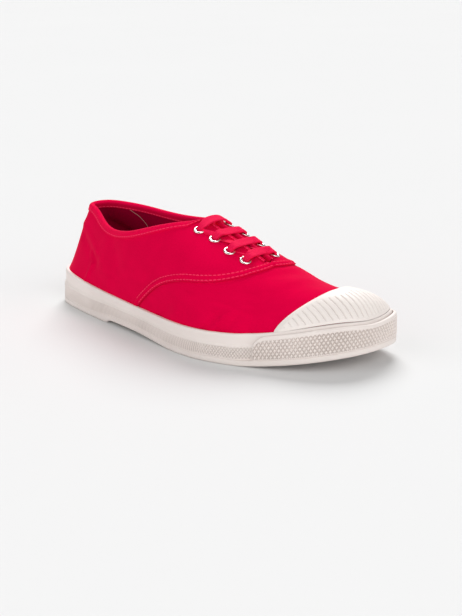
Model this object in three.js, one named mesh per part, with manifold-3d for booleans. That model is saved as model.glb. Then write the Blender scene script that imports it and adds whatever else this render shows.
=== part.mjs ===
// A low lace-up canvas tennis shoe for the right foot, in millimetres.
// +X points to the toe, +Y to the wearer's left (the inner side of this shoe), +Z up.
// The floor is z = 0 and the origin is under the middle of the shoe.
import * as THREE from 'three';
import { mergeVertices } from 'three/addons/utils/BufferGeometryUtils.js';
import Module from 'manifold-3d';

const wasm = await Module();
wasm.setup();

// ---------------------------------------------------------------- driving dimensions
const LENGTH = 262;            // outsole, heel to toe
const TOE_SWING = 16;          // the toe tip lies this far to the inner side of the heel
const AXIS_Y = -0.905;         // the heel's centre line, beside the middle of the shoe
const SPINE_SWING = 7;         // the instep ridge's swing at SPINE_SWING_X
const SPINE_SWING_X = 97;

const CANVAS = 1.6;            // wall of the upper
const GAP = 0.3;               // between pieces that meet
const WALL_GAP = 0.4;          // between the canvas and the rubber wall round it
const FOOT_INSET = 4;          // upper's lower edge, inside the sole's outline
const TOE_INSET = 1.2;         // and this much further in behind the toe strip
const TUCK = 1;                // the canvas goes straight down from this far under the wall's top
const WALL_BACK = 0.7;         // face of the rubber wall, inside the outline
const TAPE_STEP = 0.5;         // the wall's upper tape lies this much behind its lower band
const TAPE_TAPER = 0.3;        // and leans in by this much more towards its top
const BAND_PART = 0.52;        // the lower band's share of the wall's height
const WALL_ROUND = 0.5;        // rounding of the wall's top edge
const BUMPER_FROM = 7.05;      // row on either side where the toe strip starts
const BUMPER_BLEND = 0.3;      // rows over which the wall steps back behind the strip's end
const BUMPER_SKIN = 1.5;
const BUMPER_PROUD = 0.7;      // the toe strip's face in front of the wall's
const BUMPER_DROP = 1.6;       // the strip's top edge, under the wall's
const BUMPER_ROUND = 1.2;      // rounding of the strip's top edge
const BUMPER_END = 0.45;       // height of the strip's very end, as a share of the full height
const EDGE_HEIGHT = 3.6;       // visible edge of the outsole under the rubber wall
const TREAD_CHAMFER = 0.9;     // at the foot of that edge

const HEEL_BREAST_X = -58;     // front edge of the heel block
const ARCH_RISE = 2.4;         // of the waist over the floor
const ARCH_BACK = [-82, -46];  // the waist rises between these
const ARCH_FRONT = [-30, 22];  // and comes down to the ball between these
const SPRING_X = 70;           // the toe starts to rise here
const SPRING_RISE = 0.048;     // rise = SPRING_RISE * run ^ SPRING_POWER
const SPRING_POWER = 1.3;

const THROAT_HALF = 1.7;       // half of the slit between the facings
const THROAT_TOP_X = 7;        // upper end of the slit
const THROAT_END_X = 57;       // lower end of the slit

// Eyelet rows from the top: x of the ridge beside each, and its distance from the ridge.
const EYELET_ROWS = [
  { lateralX: 11.9, medialX: 12.2, lateral: 14, medial: 10.4 },
  { lateralX: 24.3, medialX: 25, lateral: 13.3, medial: 10.6 },
  { lateralX: 37.6, medialX: 37.6, lateral: 14.6, medial: 10.8 },
  { lateralX: 48.4, medialX: 48.6, lateral: 12.9, medial: 11 },
];
const EYELET_HOLE = 2.7;       // radius of the hole in the canvas

const CAP_SIDE_X = 86;         // toe cap's edge where it meets the sole wall
const CAP_MIDDLE_X = 101;      // toe cap's edge on the ridge
const CAP_HALF_WIDTH = 36;
const CAP_SKIN = 1.7;
const CAP_GAP = 0.5;           // between the canvas and the cap over it

const INSOLE_THICK = 3;
const INSOLE_ROUND = 1.2;      // rounding of the insole's top edge
const TONGUE_THICK = 1.8;
const TONGUE_DEPTH = 2.9;      // tongue's top face below the canvas surface
const TONGUE_TOP_X = 4;
const TONGUE_END_X = 66;
const TONGUE_HALF = 19;        // half width at the tongue's top
const TONGUE_TAPER = 4;        // that it loses by its end
const LACE_WIDTH = 6.4;
const LACE_THICK = 1.5;
const LACE_SINK = 0.6;         // of a bar beside the ridge, under its lift
const LACE_FOLDED = 2.6;       // width of the lace where it is gathered in an eyelet
const LACE_LIFT = 2.6;         // middle of a bar over the instep ridge
const TOP_LACE_LIFT = 4.2;     // the same for the uppermost bar, which is looser

// One row for each tenth of the way round from heel (first) to toe (last), on both sides.
// lateral, medial: half widths of the sole; spine: x of the instep point that the rib runs to;
// wallTop: top of the rubber wall; core: height of the sole inside it; lean: how far the rib
// leans in at first; rise: height of that lean; shoulder: flat part at the ridge;
// collarLateral, collarMedial: height of the opening's edge.
const SECTIONS = [
  { lateral: 0, medial: 0, spine: -95, wallTop: 24, core: 10, lean: 6.5, rise: 0.27, shoulder: 0.47,
    collarLateral: 69.3, collarMedial: 69.3 },
  { lateral: 18.6, medial: 19.6, spine: -93, wallTop: 23.9, core: 10, lean: 9, rise: 0.24, shoulder: 0.47,
    collarLateral: 69, collarMedial: 69.8 },
  { lateral: 27, medial: 28.8, spine: -84, wallTop: 22.1, core: 10, lean: 8.5, rise: 0.34, shoulder: 0.39,
    collarLateral: 66.8, collarMedial: 70 },
  { lateral: 32.6, medial: 31.3, spine: -64, wallTop: 20.2, core: 9.5, lean: 4.9, rise: 0.47, shoulder: 0.41,
    collarLateral: 60.4, collarMedial: 68.8 },
  { lateral: 37.9, medial: 27.5, spine: -36, wallTop: 18.7, core: 9, lean: 1.5, rise: 0.6, shoulder: 0.52,
    collarLateral: 63.2, collarMedial: 67.4 },
  { lateral: 43.5, medial: 29, spine: 0, wallTop: 17.6, core: 8, lean: 0, rise: 0.68, shoulder: 0.61,
    collarLateral: 72.6, collarMedial: 70 },
  { lateral: 48.6, medial: 38, spine: 38, wallTop: 18.1, core: 6.5, lean: 0, rise: 0.69, shoulder: 0.61,
    collarLateral: 71, collarMedial: 73 },
  { lateral: 42.4, medial: 42.8, spine: 66, wallTop: 20, core: 6.5, lean: 2.5, rise: 0.6, shoulder: 0.51,
    collarLateral: 73, collarMedial: 73 },
  { lateral: 33.4, medial: 37.6, spine: 84, wallTop: 25.6, core: 6.5, lean: 5.5, rise: 0.62, shoulder: 0.47,
    collarLateral: 73, collarMedial: 73 },
  { lateral: 19.1, medial: 26, spine: 92, wallTop: 28.9, core: 6.5, lean: 7.5, rise: 0.78, shoulder: 0.47,
    collarLateral: 73, collarMedial: 73 },
  { lateral: 0, medial: 0, spine: 95, wallTop: 28.4, core: 6.5, lean: 6.5, rise: 0.86, shoulder: 0.47,
    collarLateral: 73, collarMedial: 73 },
];
const LAST_ROW = SECTIONS.length - 1;
const LOOP = 2 * LAST_ROW;     // rows once round the shoe: outer side out, inner side back

// Height of the ridge over the instep, every RIDGE_STEP from RIDGE_START; the collar cuts the
// part behind the throat away.
const RIDGE_START = -100;
const RIDGE_STEP = 20;
const RIDGE = [80.5, 84, 86.7, 86.7, 81.7, 74.8, 67.7, 60.5, 51.3, 43.2, 41.8];

// ---------------------------------------------------------------- smooth columns

/** Control values of a closed uniform cubic spline that runs through the given values. */
function controls(values) {
  const n = values.length;
  let c = [...values];
  for (let pass = 0; pass < 40; pass += 1) {
    const at = c;
    c = at.map((v, i) => {
      const smooth = (at[(i + n - 1) % n] + 4 * v + at[(i + 1) % n]) / 6;
      return v + values[i] - smooth;
    });
  }
  return c;
}

/** Value of a closed cubic spline at loop place q. */
function spline(c, q) {
  const n = c.length;
  const place = ((q % n) + n) % n;
  const i = Math.floor(place);
  const f = place - i;
  const w = [(1 - f) ** 3, 3 * f ** 3 - 6 * f ** 2 + 4, -3 * f ** 3 + 3 * f ** 2 + 3 * f + 1, f ** 3];
  return w.reduce((sum, weight, k) => sum + (weight * c[(i + n - 1 + k) % n]) / 6, 0);
}

/** One column once round the shoe: the outer side to the toe, the inner side back. */
function column(outer, inner = outer) {
  const out = SECTIONS.map((row) => row[outer]);
  const back = SECTIONS.slice(1, LAST_ROW).map((row) => row[inner]).reverse();
  return controls([...out, ...back]);
}

/** x of the sole's outline at a row, close together at heel and toe. */
function rowX(row) {
  return (-LENGTH / 2) * Math.cos((Math.PI * row) / LAST_ROW);
}

/** Loop place on the outer side whose outline has the given x. */
function rowAt(x) {
  return (LAST_ROW * Math.acos((-2 * x) / LENGTH)) / Math.PI;
}

const OUTLINE = (() => {
  const rows = SECTIONS.map((row, i) => {
    const x = rowX(i);
    const middle = AXIS_Y + TOE_SWING * (Math.max(x, 0) / (LENGTH / 2)) ** 2;
    return { x, lateral: middle - row.lateral, medial: middle + row.medial };
  });
  const back = rows.slice(1, LAST_ROW).reverse();
  return {
    x: controls([...rows.map((r) => r.x), ...back.map((r) => r.x)]),
    y: controls([...rows.map((r) => r.lateral), ...back.map((r) => r.medial)]),
  };
})();
const SPINE = column('spine');
const WALL_TOP = column('wallTop');
const CORE = column('core');
const LEAN = column('lean');
const RISE = column('rise');
const SHOULDER = column('shoulder');
const COLLAR = column('collarLateral', 'collarMedial');

/** Height and slope of the instep ridge at x. */
function ridge(x) {
  const n = RIDGE.length;
  const value = (i) => {
    if (i < 0) return 2 * RIDGE[0] - RIDGE[1];
    if (i >= n) return 2 * RIDGE[n - 1] - RIDGE[n - 2];
    return RIDGE[i];
  };
  const at = (x0) => {
    const place = Math.min(Math.max((x0 - RIDGE_START) / RIDGE_STEP, 0), n - 1.001);
    const i = Math.floor(place);
    const f = place - i;
    const w = [(1 - f) ** 3, 3 * f ** 3 - 6 * f ** 2 + 4, -3 * f ** 3 + 3 * f ** 2 + 3 * f + 1, f ** 3];
    return w.reduce((sum, weight, k) => sum + (weight * value(i - 1 + k)) / 6, 0);
  };
  return { height: at(x), slope: at(x + 0.5) - at(x - 0.5) };
}

const smooth = (a, b, v) => THREE.MathUtils.smoothstep(v, a, b);

/** Rise of the sole over the floor at x: flat heel, arch, flat ball, toe spring. */
function rise(x) {
  const arch = ARCH_RISE * smooth(...ARCH_BACK, x) * (1 - smooth(...ARCH_FRONT, x));
  return arch + SPRING_RISE * Math.max(0, x - SPRING_X) ** SPRING_POWER;
}

/** Point of the sole's outline at loop place q, moved in by inset. */
function outline(q, inset) {
  const step = 0.01;
  const x = spline(OUTLINE.x, q);
  const y = spline(OUTLINE.y, q);
  const dx = spline(OUTLINE.x, q + step) - spline(OUTLINE.x, q - step);
  const dy = spline(OUTLINE.y, q + step) - spline(OUTLINE.y, q - step);
  const n = Math.hypot(dx, dy);
  return new THREE.Vector2(x - (dy / n) * inset, y + (dx / n) * inset);
}

/** Rise of the sole at loop place q. */
function riseAt(q) {
  return rise(spline(OUTLINE.x, q));
}

/** Spine point that the rib at loop place q runs to. */
function spinePoint(q) {
  const x = spline(SPINE, q);
  const swing = SPINE_SWING * (Math.max(x, 0) / SPINE_SWING_X) ** 2;
  return new THREE.Vector3(x, AXIS_Y + swing, ridge(x).height);
}

/** Row of a loop place, counted from the heel on either side. */
function rowOf(q) {
  return q <= LAST_ROW ? q : LOOP - q;
}

/** 1 behind the toe strip and 0 in front of its ends. */
function behindStrip(q) {
  return smooth(BUMPER_FROM - BUMPER_BLEND - 0.05, BUMPER_FROM - 0.05, rowOf(q));
}

/** How far the canvas stands inside the sole's outline behind the rubber wall. */
function footInset(q) {
  return FOOT_INSET + TOE_INSET * behindStrip(q);
}

/** Point of the upper's outer surface: rib q, from the wall's top (u = 0) to the ridge (u = 1). */
function rib(q, u) {
  const foot = outline(q, footInset(q));
  const footZ = spline(WALL_TOP, q) - TUCK;
  const top = spinePoint(q);
  const run = Math.hypot(top.x - foot.x, top.y - foot.y);
  const ux = (top.x - foot.x) / run;
  const uy = (top.y - foot.y) / run;
  const flat = run * spline(SHOULDER, q);
  const b = [(1 - u) ** 3, 3 * u * (1 - u) ** 2, 3 * u * u * (1 - u), u ** 3];
  const r = b[1] * spline(LEAN, q) + b[2] * (run - flat) + b[3] * run;
  const z1 = footZ + spline(RISE, q) * (top.z - footZ);
  const z2 = top.z - flat * ux * ridge(top.x).slope;
  const z = b[0] * footZ + b[1] * z1 + b[2] * z2 + b[3] * top.z;
  return new THREE.Vector3(foot.x + ux * r, foot.y + uy * r, z);
}

/** Outward normal of the upper's surface. */
function normal(q, u) {
  if (u > 0.995) {
    return new THREE.Vector3(-ridge(spinePoint(q).x).slope, 0, 1).normalize();
  }
  const along = rib(q + 0.02, u).sub(rib(q - 0.02, u));
  const up = rib(q, Math.min(u + 0.01, 1)).sub(rib(q, Math.max(u - 0.01, 0)));
  return along.cross(up).normalize();
}

/** Point at a distance outside (or, negative, inside) the upper's surface. */
function form(q, u, distance) {
  return rib(q, u).addScaledVector(normal(q, u), distance);
}

/** The u on rib q where a rising test first turns true. */
function ribPlace(q, test) {
  let low = 0;
  let high = 1;
  for (let i = 0; i < 26; i += 1) {
    const middle = (low + high) / 2;
    if (test(rib(q, middle))) high = middle;
    else low = middle;
  }
  return (low + high) / 2;
}

/** Loop place on the outer side whose rib runs to spine x. */
function rowOfSpine(x) {
  let low = 0;
  let high = LAST_ROW;
  for (let i = 0; i < 26; i += 1) {
    const middle = (low + high) / 2;
    if (spline(SPINE, middle) > x) high = middle;
    else low = middle;
  }
  return (low + high) / 2;
}

/** The u on rib q at a distance from the ridge, seen from above. */
function besideRidge(q, distance) {
  const top = spinePoint(q);
  return ribPlace(q, (p) => Math.hypot(p.x - top.x, p.y - top.y) < distance);
}

const THROAT_TOP = rowOfSpine(THROAT_TOP_X);
const THROAT_END = rowOfSpine(THROAT_END_X);
const CORNER = 0.12;           // rows over which the collar turns into the throat
const SLIT_ROUND = 0.06;       // rows over which the slit's lower end closes

/** Where the canvas ends on rib q: collar, throat edge, or the ridge in front of the slit. */
function canvasEnd(q) {
  const row = rowOf(q);
  if (row >= THROAT_END) return 1;
  const height = spline(COLLAR, q);
  const collar = ribPlace(q, (p) => p.z > height);
  const throat = besideRidge(q, THROAT_HALF);
  const turn = smooth(THROAT_TOP - CORNER, THROAT_TOP + CORNER, row);
  const edge = collar + (throat - collar) * turn;
  const close = Math.max(0, 1 - (THROAT_END - row) / SLIT_ROUND);
  return edge + (1 - edge) * (1 - Math.sqrt(1 - close * close));
}

// ---------------------------------------------------------------- solids

/** A closed geometry from a triangle soup, its faces turned to point out. */
function solid(triangles) {
  const flat = triangles.flatMap((t) => t.flatMap((p) => [p.x, p.y, p.z]));
  const soup = new THREE.BufferGeometry();
  soup.setAttribute('position', new THREE.Float32BufferAttribute(flat, 3));
  const merged = mergeVertices(soup, 1e-4);
  const at = merged.getAttribute('position');
  const order = merged.getIndex().array;
  const faces = [];
  let volume = 0;
  for (let i = 0; i < order.length; i += 3) {
    const [a, b, c] = [order[i], order[i + 1], order[i + 2]];
    if (a === b || b === c || c === a) continue;
    const [pa, pb, pc] = [a, b, c].map((k) => new THREE.Vector3().fromBufferAttribute(at, k));
    volume += pa.dot(pb.cross(pc));
    faces.push([a, b, c]);
  }
  const turned = volume < 0 ? faces.map(([a, b, c]) => [a, c, b]) : faces;
  merged.setIndex(turned.flat());
  return merged;
}

/** The two triangles of a quad. */
function quad(a, b, c, d) {
  return [[a, b, c], [a, c, d]];
}

/**
 * A body through cross-sections, each a ring of points. Closed bodies join the last section to
 * the first, others get flat ends; skip(i, k) leaves out the quad after point k of section i.
 */
function loft(sections, { closed = false, skip = () => false } = {}) {
  const triangles = [];
  const spans = closed ? sections.length : sections.length - 1;
  for (let i = 0; i < spans; i += 1) {
    const a = sections[i];
    const b = sections[(i + 1) % sections.length];
    for (let k = 0; k < a.length; k += 1) {
      const n = (k + 1) % a.length;
      if (!skip(i, k)) triangles.push(...quad(a[k], a[n], b[n], b[k]));
    }
  }
  if (!closed) {
    for (const [ring, turn] of [[sections[0], true], [sections[sections.length - 1], false]]) {
      const half = ring.length / 2;
      for (let k = 0; k < half - 1; k += 1) {
        const [a, b, c, d] = [ring[k], ring[k + 1], ring[2 * half - 2 - k], ring[2 * half - 1 - k]];
        triangles.push(...(turn ? quad(d, c, b, a) : quad(a, b, c, d)));
      }
    }
  }
  return solid(triangles);
}

/** A slab from rings round the shoe, its lowest and highest ring filled across. */
function slab(rings) {
  const triangles = [];
  const n = rings[0].length;
  for (let level = 0; level < rings.length - 1; level += 1) {
    for (let i = 0; i < n; i += 1) {
      const next = (i + 1) % n;
      const [low, high] = [rings[level], rings[level + 1]];
      triangles.push(...quad(low[i], low[next], high[next], high[i]));
    }
  }
  for (const [ring, turn] of [[rings[0], true], [rings[rings.length - 1], false]]) {
    for (let i = 0; i < n / 2; i += 1) {
      const [a, b, c, d] = [ring[i], ring[i + 1], ring[(n - i - 1) % n], ring[(n - i) % n]];
      triangles.push(...(turn ? quad(d, c, b, a) : quad(a, b, c, d)));
    }
  }
  return solid(triangles);
}

/** A geometry as a manifold, and a manifold as a geometry. */
function toManifold(geometry) {
  const vertProperties = new Float32Array(geometry.getAttribute('position').array);
  const triVerts = new Uint32Array(geometry.getIndex().array);
  return new wasm.Manifold(new wasm.Mesh({ numProp: 3, vertProperties, triVerts }));
}

function fromManifold(manifold) {
  const mesh = manifold.getMesh();
  const geometry = new THREE.BufferGeometry();
  geometry.setAttribute('position', new THREE.BufferAttribute(mesh.vertProperties, 3));
  geometry.setIndex(new THREE.BufferAttribute(mesh.triVerts, 1));
  return geometry;
}

/** Loop places on one side from heel to toe, with extra ones where the shape turns fast. */
function rows(step, extra = []) {
  const even = Array.from({ length: Math.round(LAST_ROW / step) + 1 }, (_, i) => i * step);
  const all = [...even, ...extra].sort((a, b) => a - b);
  return all.filter((q, i) => i === 0 || q - all[i - 1] > 0.012);
}

/** Both sides as one loop. */
function around(side) {
  return [...side, ...side.slice(1, -1).reverse().map((q) => LOOP - q)];
}

/** Ring round the sole: the outline moved in by inset, at the height that the function gives. */
function ring(places, inset, height) {
  return places.map((q) => {
    const p = outline(q, inset);
    return new THREE.Vector3(p.x, p.y, height(q));
  });
}

// ---------------------------------------------------------------- the sole

const BREAST = rowAt(HEEL_BREAST_X);
const SOLE_PLACES = around(rows(0.3125, [BREAST - 0.02, BREAST + 0.02]));
const coreTop = (q) => riseAt(q) + spline(CORE, q);
const edgeTop = (q) => riseAt(q) + EDGE_HEIGHT;

/** Outsole: chamfered tread edge, upright edge, ledge for the rubber wall, raised core. */
function outsole() {
  const under = (q) => (spline(OUTLINE.x, q) < HEEL_BREAST_X ? 0 : riseAt(q));
  const core = FOOT_INSET + TOE_INSET + GAP;
  return slab([
    ring(SOLE_PLACES, TREAD_CHAMFER, under),
    ring(SOLE_PLACES, 0, (q) => under(q) + TREAD_CHAMFER),
    ring(SOLE_PLACES, 0, edgeTop),
    ring(SOLE_PLACES, core, edgeTop),
    ring(SOLE_PLACES, core, coreTop),
  ]);
}

/** Insole: a level sheet inside the canvas, on the sole's core. */
function insole() {
  const inset = FOOT_INSET + TOE_INSET + CANVAS + WALL_GAP;
  return slab([
    ring(SOLE_PLACES, inset, (q) => coreTop(q) + GAP),
    ring(SOLE_PLACES, inset, (q) => coreTop(q) + GAP + INSOLE_THICK - INSOLE_ROUND / 2),
    ring(SOLE_PLACES, inset + INSOLE_ROUND, (q) => coreTop(q) + GAP + INSOLE_THICK),
  ]);
}

/** How far the rubber wall's face steps back behind the toe strip. */
function wallBack(q) {
  return WALL_BACK + (BUMPER_SKIN + GAP - BUMPER_PROUD) * behindStrip(q);
}

/** Rubber wall: a tape round the whole shoe, thinner towards its top. */
function foxing() {
  const low = (q) => edgeTop(q) + GAP;
  const profile = [
    { part: 0, inset: wallBack },
    { part: BAND_PART, inset: wallBack },
    { part: BAND_PART + 0.06, inset: (q) => wallBack(q) + TAPE_STEP },
    { part: 0.95, inset: (q) => wallBack(q) + TAPE_STEP + TAPE_TAPER },
    { part: 1, inset: (q) => wallBack(q) + TAPE_STEP + TAPE_TAPER + WALL_ROUND },
    { part: 1, inset: (q) => footInset(q) - WALL_GAP },
    { part: 0, inset: (q) => footInset(q) - WALL_GAP },
  ];
  const sections = SOLE_PLACES.map((q) => profile.map(({ part, inset }) => {
    const p = outline(q, inset(q));
    return new THREE.Vector3(p.x, p.y, low(q) + part * (spline(WALL_TOP, q) - low(q)));
  }));
  return loft(sections, { closed: true });
}

/** Toe strip: a thicker band laid over the wall round the toe, its ends rounded off. */
function toeBumper() {
  const count = 36;
  const sections = Array.from({ length: count + 1 }, (_, i) => {
    const q = BUMPER_FROM + ((LOOP - 2 * BUMPER_FROM) * i) / count;
    const end = Math.min(i, count - i) / 3;
    const tall = end < 1 ? BUMPER_END + (1 - BUMPER_END) * Math.sqrt(1 - (1 - end) ** 2) : 1;
    const low = edgeTop(q) + GAP;
    const high = low + (spline(WALL_TOP, q) - BUMPER_DROP - low) * tall;
    const back = wallBack(q) - GAP;
    const face = back - BUMPER_SKIN;
    const places = [[back, low], [face, low], [face, high - BUMPER_ROUND],
      [face + BUMPER_ROUND / 2, high - BUMPER_ROUND / 5], [back - GAP, high], [back, high]];
    return places.map(([inset, z]) => {
      const p = outline(q, inset);
      return new THREE.Vector3(p.x, p.y, z);
    });
  });
  return loft(sections);
}

// ---------------------------------------------------------------- the upper and its overlays

const UPPER_ROWS = 8;

/** Canvas upper: one wall, open at the collar, down the throat and underneath. */
function upper() {
  const side = rows(0.3125, [
    THROAT_TOP - 0.15, THROAT_TOP - 0.1, THROAT_TOP - 0.05, THROAT_TOP, THROAT_TOP + 0.05,
    THROAT_TOP + 0.1, THROAT_TOP + 0.15, THROAT_END - 0.06, THROAT_END - 0.04, THROAT_END - 0.02,
    THROAT_END - 0.006, THROAT_END,
  ]);
  const places = around(side);
  const sections = places.map((q) => {
    const end = canvasEnd(q);
    const us = Array.from({ length: UPPER_ROWS + 1 }, (_, k) => (end * k) / UPPER_ROWS);
    const hem = (inset) => {
      const p = outline(q, inset);
      return new THREE.Vector3(p.x, p.y, coreTop(q) + GAP);
    };
    const inner = us.map((u) => form(q, u, -CANVAS));
    inner[0] = hem(footInset(q) + CANVAS).setZ(rib(q, 0).z);
    return [hem(footInset(q)), ...us.map((u) => rib(q, u)), ...inner.reverse(),
      hem(footInset(q) + CANVAS)];
  });
  const onRidge = places.map((q) => canvasEnd(q) >= 1);
  const skip = (i, k) => k === UPPER_ROWS + 1 && onRidge[i] && onRidge[(i + 1) % places.length];
  let body = toManifold(loft(sections, { closed: true, skip }));
  for (const { place } of eyelets()) {
    const hole = new THREE.CylinderGeometry(EYELET_HOLE, EYELET_HOLE, 8, 12);
    hole.rotateX(Math.PI / 2);
    hole.applyMatrix4(place);
    hole.deleteAttribute('normal');
    hole.deleteAttribute('uv');
    body = body.subtract(toManifold(mergeVertices(hole, 1e-4)));
  }
  return fromManifold(body);
}

/** x of the toe cap's edge at y: straight across the toes, swept back at the sides. */
function capEdgeX(y) {
  const part = Math.min(Math.abs(y - AXIS_Y - SPINE_SWING) / CAP_HALF_WIDTH, 1.2);
  return CAP_MIDDLE_X - (CAP_MIDDLE_X - CAP_SIDE_X) * part * part;
}

/** Toe cap: a shell over the front of the upper, standing on the rubber wall. */
function toeCap() {
  const low = (q) => ribPlace(q, (p) => p.z > spline(WALL_TOP, q) + GAP);
  const high = (q) => ribPlace(q, (p) => p.x < capEdgeX(p.y));
  let from = 7;
  while (high(from) < low(from) + 0.03) from += 0.02;
  let to = LOOP - 7;
  while (high(to) < low(to) + 0.03) to -= 0.02;
  const count = 34;
  const levels = 6;
  const sections = Array.from({ length: count + 1 }, (_, i) => {
    const q = from + ((to - from) * i) / count;
    const [a, b] = [low(q), high(q)];
    const us = Array.from({ length: levels + 1 }, (_, k) => a + ((b - a) * k) / levels);
    const outer = us.map((u) => form(q, u, CAP_GAP + CAP_SKIN));
    return [...outer, ...us.reverse().map((u) => form(q, u, CAP_GAP))];
  });
  return loft(sections);
}

/** Tongue: a canvas sheet under the facings, following the instep. */
function tongue() {
  const from = rowOfSpine(TONGUE_TOP_X);
  const to = rowOfSpine(TONGUE_END_X);
  const along = 13;
  const half = 5;
  const sections = Array.from({ length: along + 1 }, (_, i) => {
    const row = from + ((to - from) * i) / along;
    const reach = TONGUE_HALF - (TONGUE_TAPER * i) / along;
    const across = [];
    for (let k = half; k > 0; k -= 1) across.push([row, besideRidge(row, (reach * k) / half)]);
    across.push([row, 1]);
    for (let k = 1; k <= half; k += 1) {
      across.push([LOOP - row, besideRidge(LOOP - row, (reach * k) / half)]);
    }
    const top = across.map(([q, u]) => form(q, u, -TONGUE_DEPTH));
    const under = across.map(([q, u]) => form(q, u, -TONGUE_DEPTH - TONGUE_THICK));
    return [...top, ...under.reverse()];
  });
  return loft(sections);
}

// ---------------------------------------------------------------- eyelets and lace

/** The eight eyelets: name and the matrix that stands each on the canvas, +Z outwards. */
function eyelets() {
  const list = [];
  EYELET_ROWS.forEach((at, row) => {
    const outer = rowOfSpine(at.lateralX);
    const inner = LOOP - rowOfSpine(at.medialX);
    for (const [side, q, half] of [['lateral', outer, at.lateral], ['medial', inner, at.medial]]) {
      const u = besideRidge(q, half);
      const out = normal(q, u);
      const turn = new THREE.Quaternion().setFromUnitVectors(new THREE.Vector3(0, 0, 1), out);
      const place = new THREE.Matrix4().compose(rib(q, u), turn, new THREE.Vector3(1, 1, 1));
      list.push({ name: `eyelet_${side}_${row + 1}`, row, half, place });
    }
  });
  return list;
}

/** Pressed eyelet: a rolled flange on the canvas and a barrel through it, as radius and height. */
function eyelet() {
  const profile = [[1.9, -1.5], [2.35, -1.5], [2.35, 0.35], [3.5, 0.35], [3.65, 0.65], [3.2, 1.1],
    [2.5, 1.15], [1.9, 0.7]].map(([r, z]) => new THREE.Vector2(r, z));
  profile.push(profile[0].clone());
  const geometry = new THREE.LatheGeometry(profile, 12);
  geometry.rotateX(Math.PI / 2);
  geometry.deleteAttribute('normal');
  geometry.deleteAttribute('uv');
  return mergeVertices(geometry, 1e-4);
}

/** Lace bar: flat cord out of one eyelet, over the throat and into the eyelet opposite. */
function laceBar(row, all) {
  const [near, far] = all.filter((e) => e.row === row);
  const at = (e, out, inward = 0) => {
    const p = new THREE.Vector3(0, 0, out).applyMatrix4(e.place);
    return p.add(new THREE.Vector3(0, inward, Math.abs(inward) / 4));
  };
  const lift = row === 0 ? TOP_LACE_LIFT : LACE_LIFT;
  const { lateralX, medialX } = EYELET_ROWS[row];
  const over = (x, across) => {
    const p = spinePoint(rowOfSpine(x));
    return p.add(new THREE.Vector3(0, across, lift - LACE_SINK));
  };
  const points = [
    at(near, -1.3), at(near, 0.6), at(near, 2.4, 1.2),
    over((2 * lateralX + medialX) / 3, -near.half / 3),
    over((lateralX + 2 * medialX) / 3, far.half / 3),
    at(far, 2.4, -1.2), at(far, 0.6), at(far, -1.3),
  ];
  const path = new THREE.CatmullRomCurve3(points, false, 'centripetal');
  const steps = 18;
  const sections = Array.from({ length: steps + 1 }, (_, i) => {
    const p = path.getPoint(i / steps);
    const along = path.getTangent(i / steps);
    const wide = new THREE.Vector3(1, 0, ridge(p.x).slope).normalize();
    wide.addScaledVector(along, -wide.dot(along)).normalize();
    const thick = along.clone().cross(wide).normalize();
    const end = Math.min(i, steps - i) / 4;
    const width = LACE_FOLDED + (LACE_WIDTH - LACE_FOLDED) * smooth(0.95, 1.7, end);
    const corners = [[-0.5, -0.2], [-0.36, -0.5], [0.36, -0.5], [0.5, -0.2], [0.5, 0.2], [0.36, 0.5],
      [-0.36, 0.5], [-0.5, 0.2]];
    return corners.map(([a, b]) => {
      const across = p.clone().addScaledVector(wide, a * width);
      return across.addScaledVector(thick, b * LACE_THICK);
    });
  });
  return loft(sections);
}

// ---------------------------------------------------------------- the shoe

const RUBBER = { color: 0xe6dcd6, roughness: 0.62, metalness: 0 };
const CAP_RUBBER = { color: 0xeee6e0, roughness: 0.5, metalness: 0 };
const RED_CANVAS = { color: 0xd8083c, roughness: 0.92, metalness: 0 };
const RED_CORD = { color: 0xe01040, roughness: 0.88, metalness: 0 };
const LINING = { color: 0x9c1834, roughness: 0.95, metalness: 0 };
const NICKEL = { color: 0xe4e6e6, roughness: 0.2, metalness: 1 };

const shoe = new THREE.Group();

/** Adds one named piece to the shoe. */
function add(name, geometry, finish) {
  const mesh = new THREE.Mesh(geometry, new THREE.MeshStandardMaterial(finish));
  mesh.name = name;
  shoe.add(mesh);
  return mesh;
}

add('outsole', outsole(), RUBBER);
add('foxing', foxing(), RUBBER);
add('toe_bumper', toeBumper(), RUBBER);
add('toe_cap', toeCap(), CAP_RUBBER);
add('upper', upper(), RED_CANVAS);
add('tongue', tongue(), RED_CANVAS);
add('insole', insole(), LINING);
for (const { name, place } of eyelets()) {
  add(name, eyelet(), NICKEL).applyMatrix4(place);
}
for (let row = 0; row < EYELET_ROWS.length; row += 1) {
  add(`lace_bar_${row + 1}`, laceBar(row, eyelets()), RED_CORD);
}

export default shoe;
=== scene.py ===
"""Low canvas tennis shoe for the right foot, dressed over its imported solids.

The frame is the solids' own: +X to the toe, +Y to the wearer's left (the inner side of this
shoe), +Z up, the floor at z = 0. Blender works in metres; the shoe's sizes below are in
millimetres and turned into metres where a mesh is made.

The canvas follows one form: ribs run from the rubber wall up to the ridge of the instep. A place
on it is a loop place q (0 at the heel, 10 at the toe, counted along the outer side and back to
20 along the inner side), a part u of the rib (0 at the wall, 1 on the ridge) and a distance out.
"""

import logging
import math
from contextlib import contextmanager
from dataclasses import dataclass, field
from enum import Enum
from typing import Callable, Iterator, NamedTuple, Sequence

import bpy
import numpy as np
from mathutils import Matrix, Vector


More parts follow.
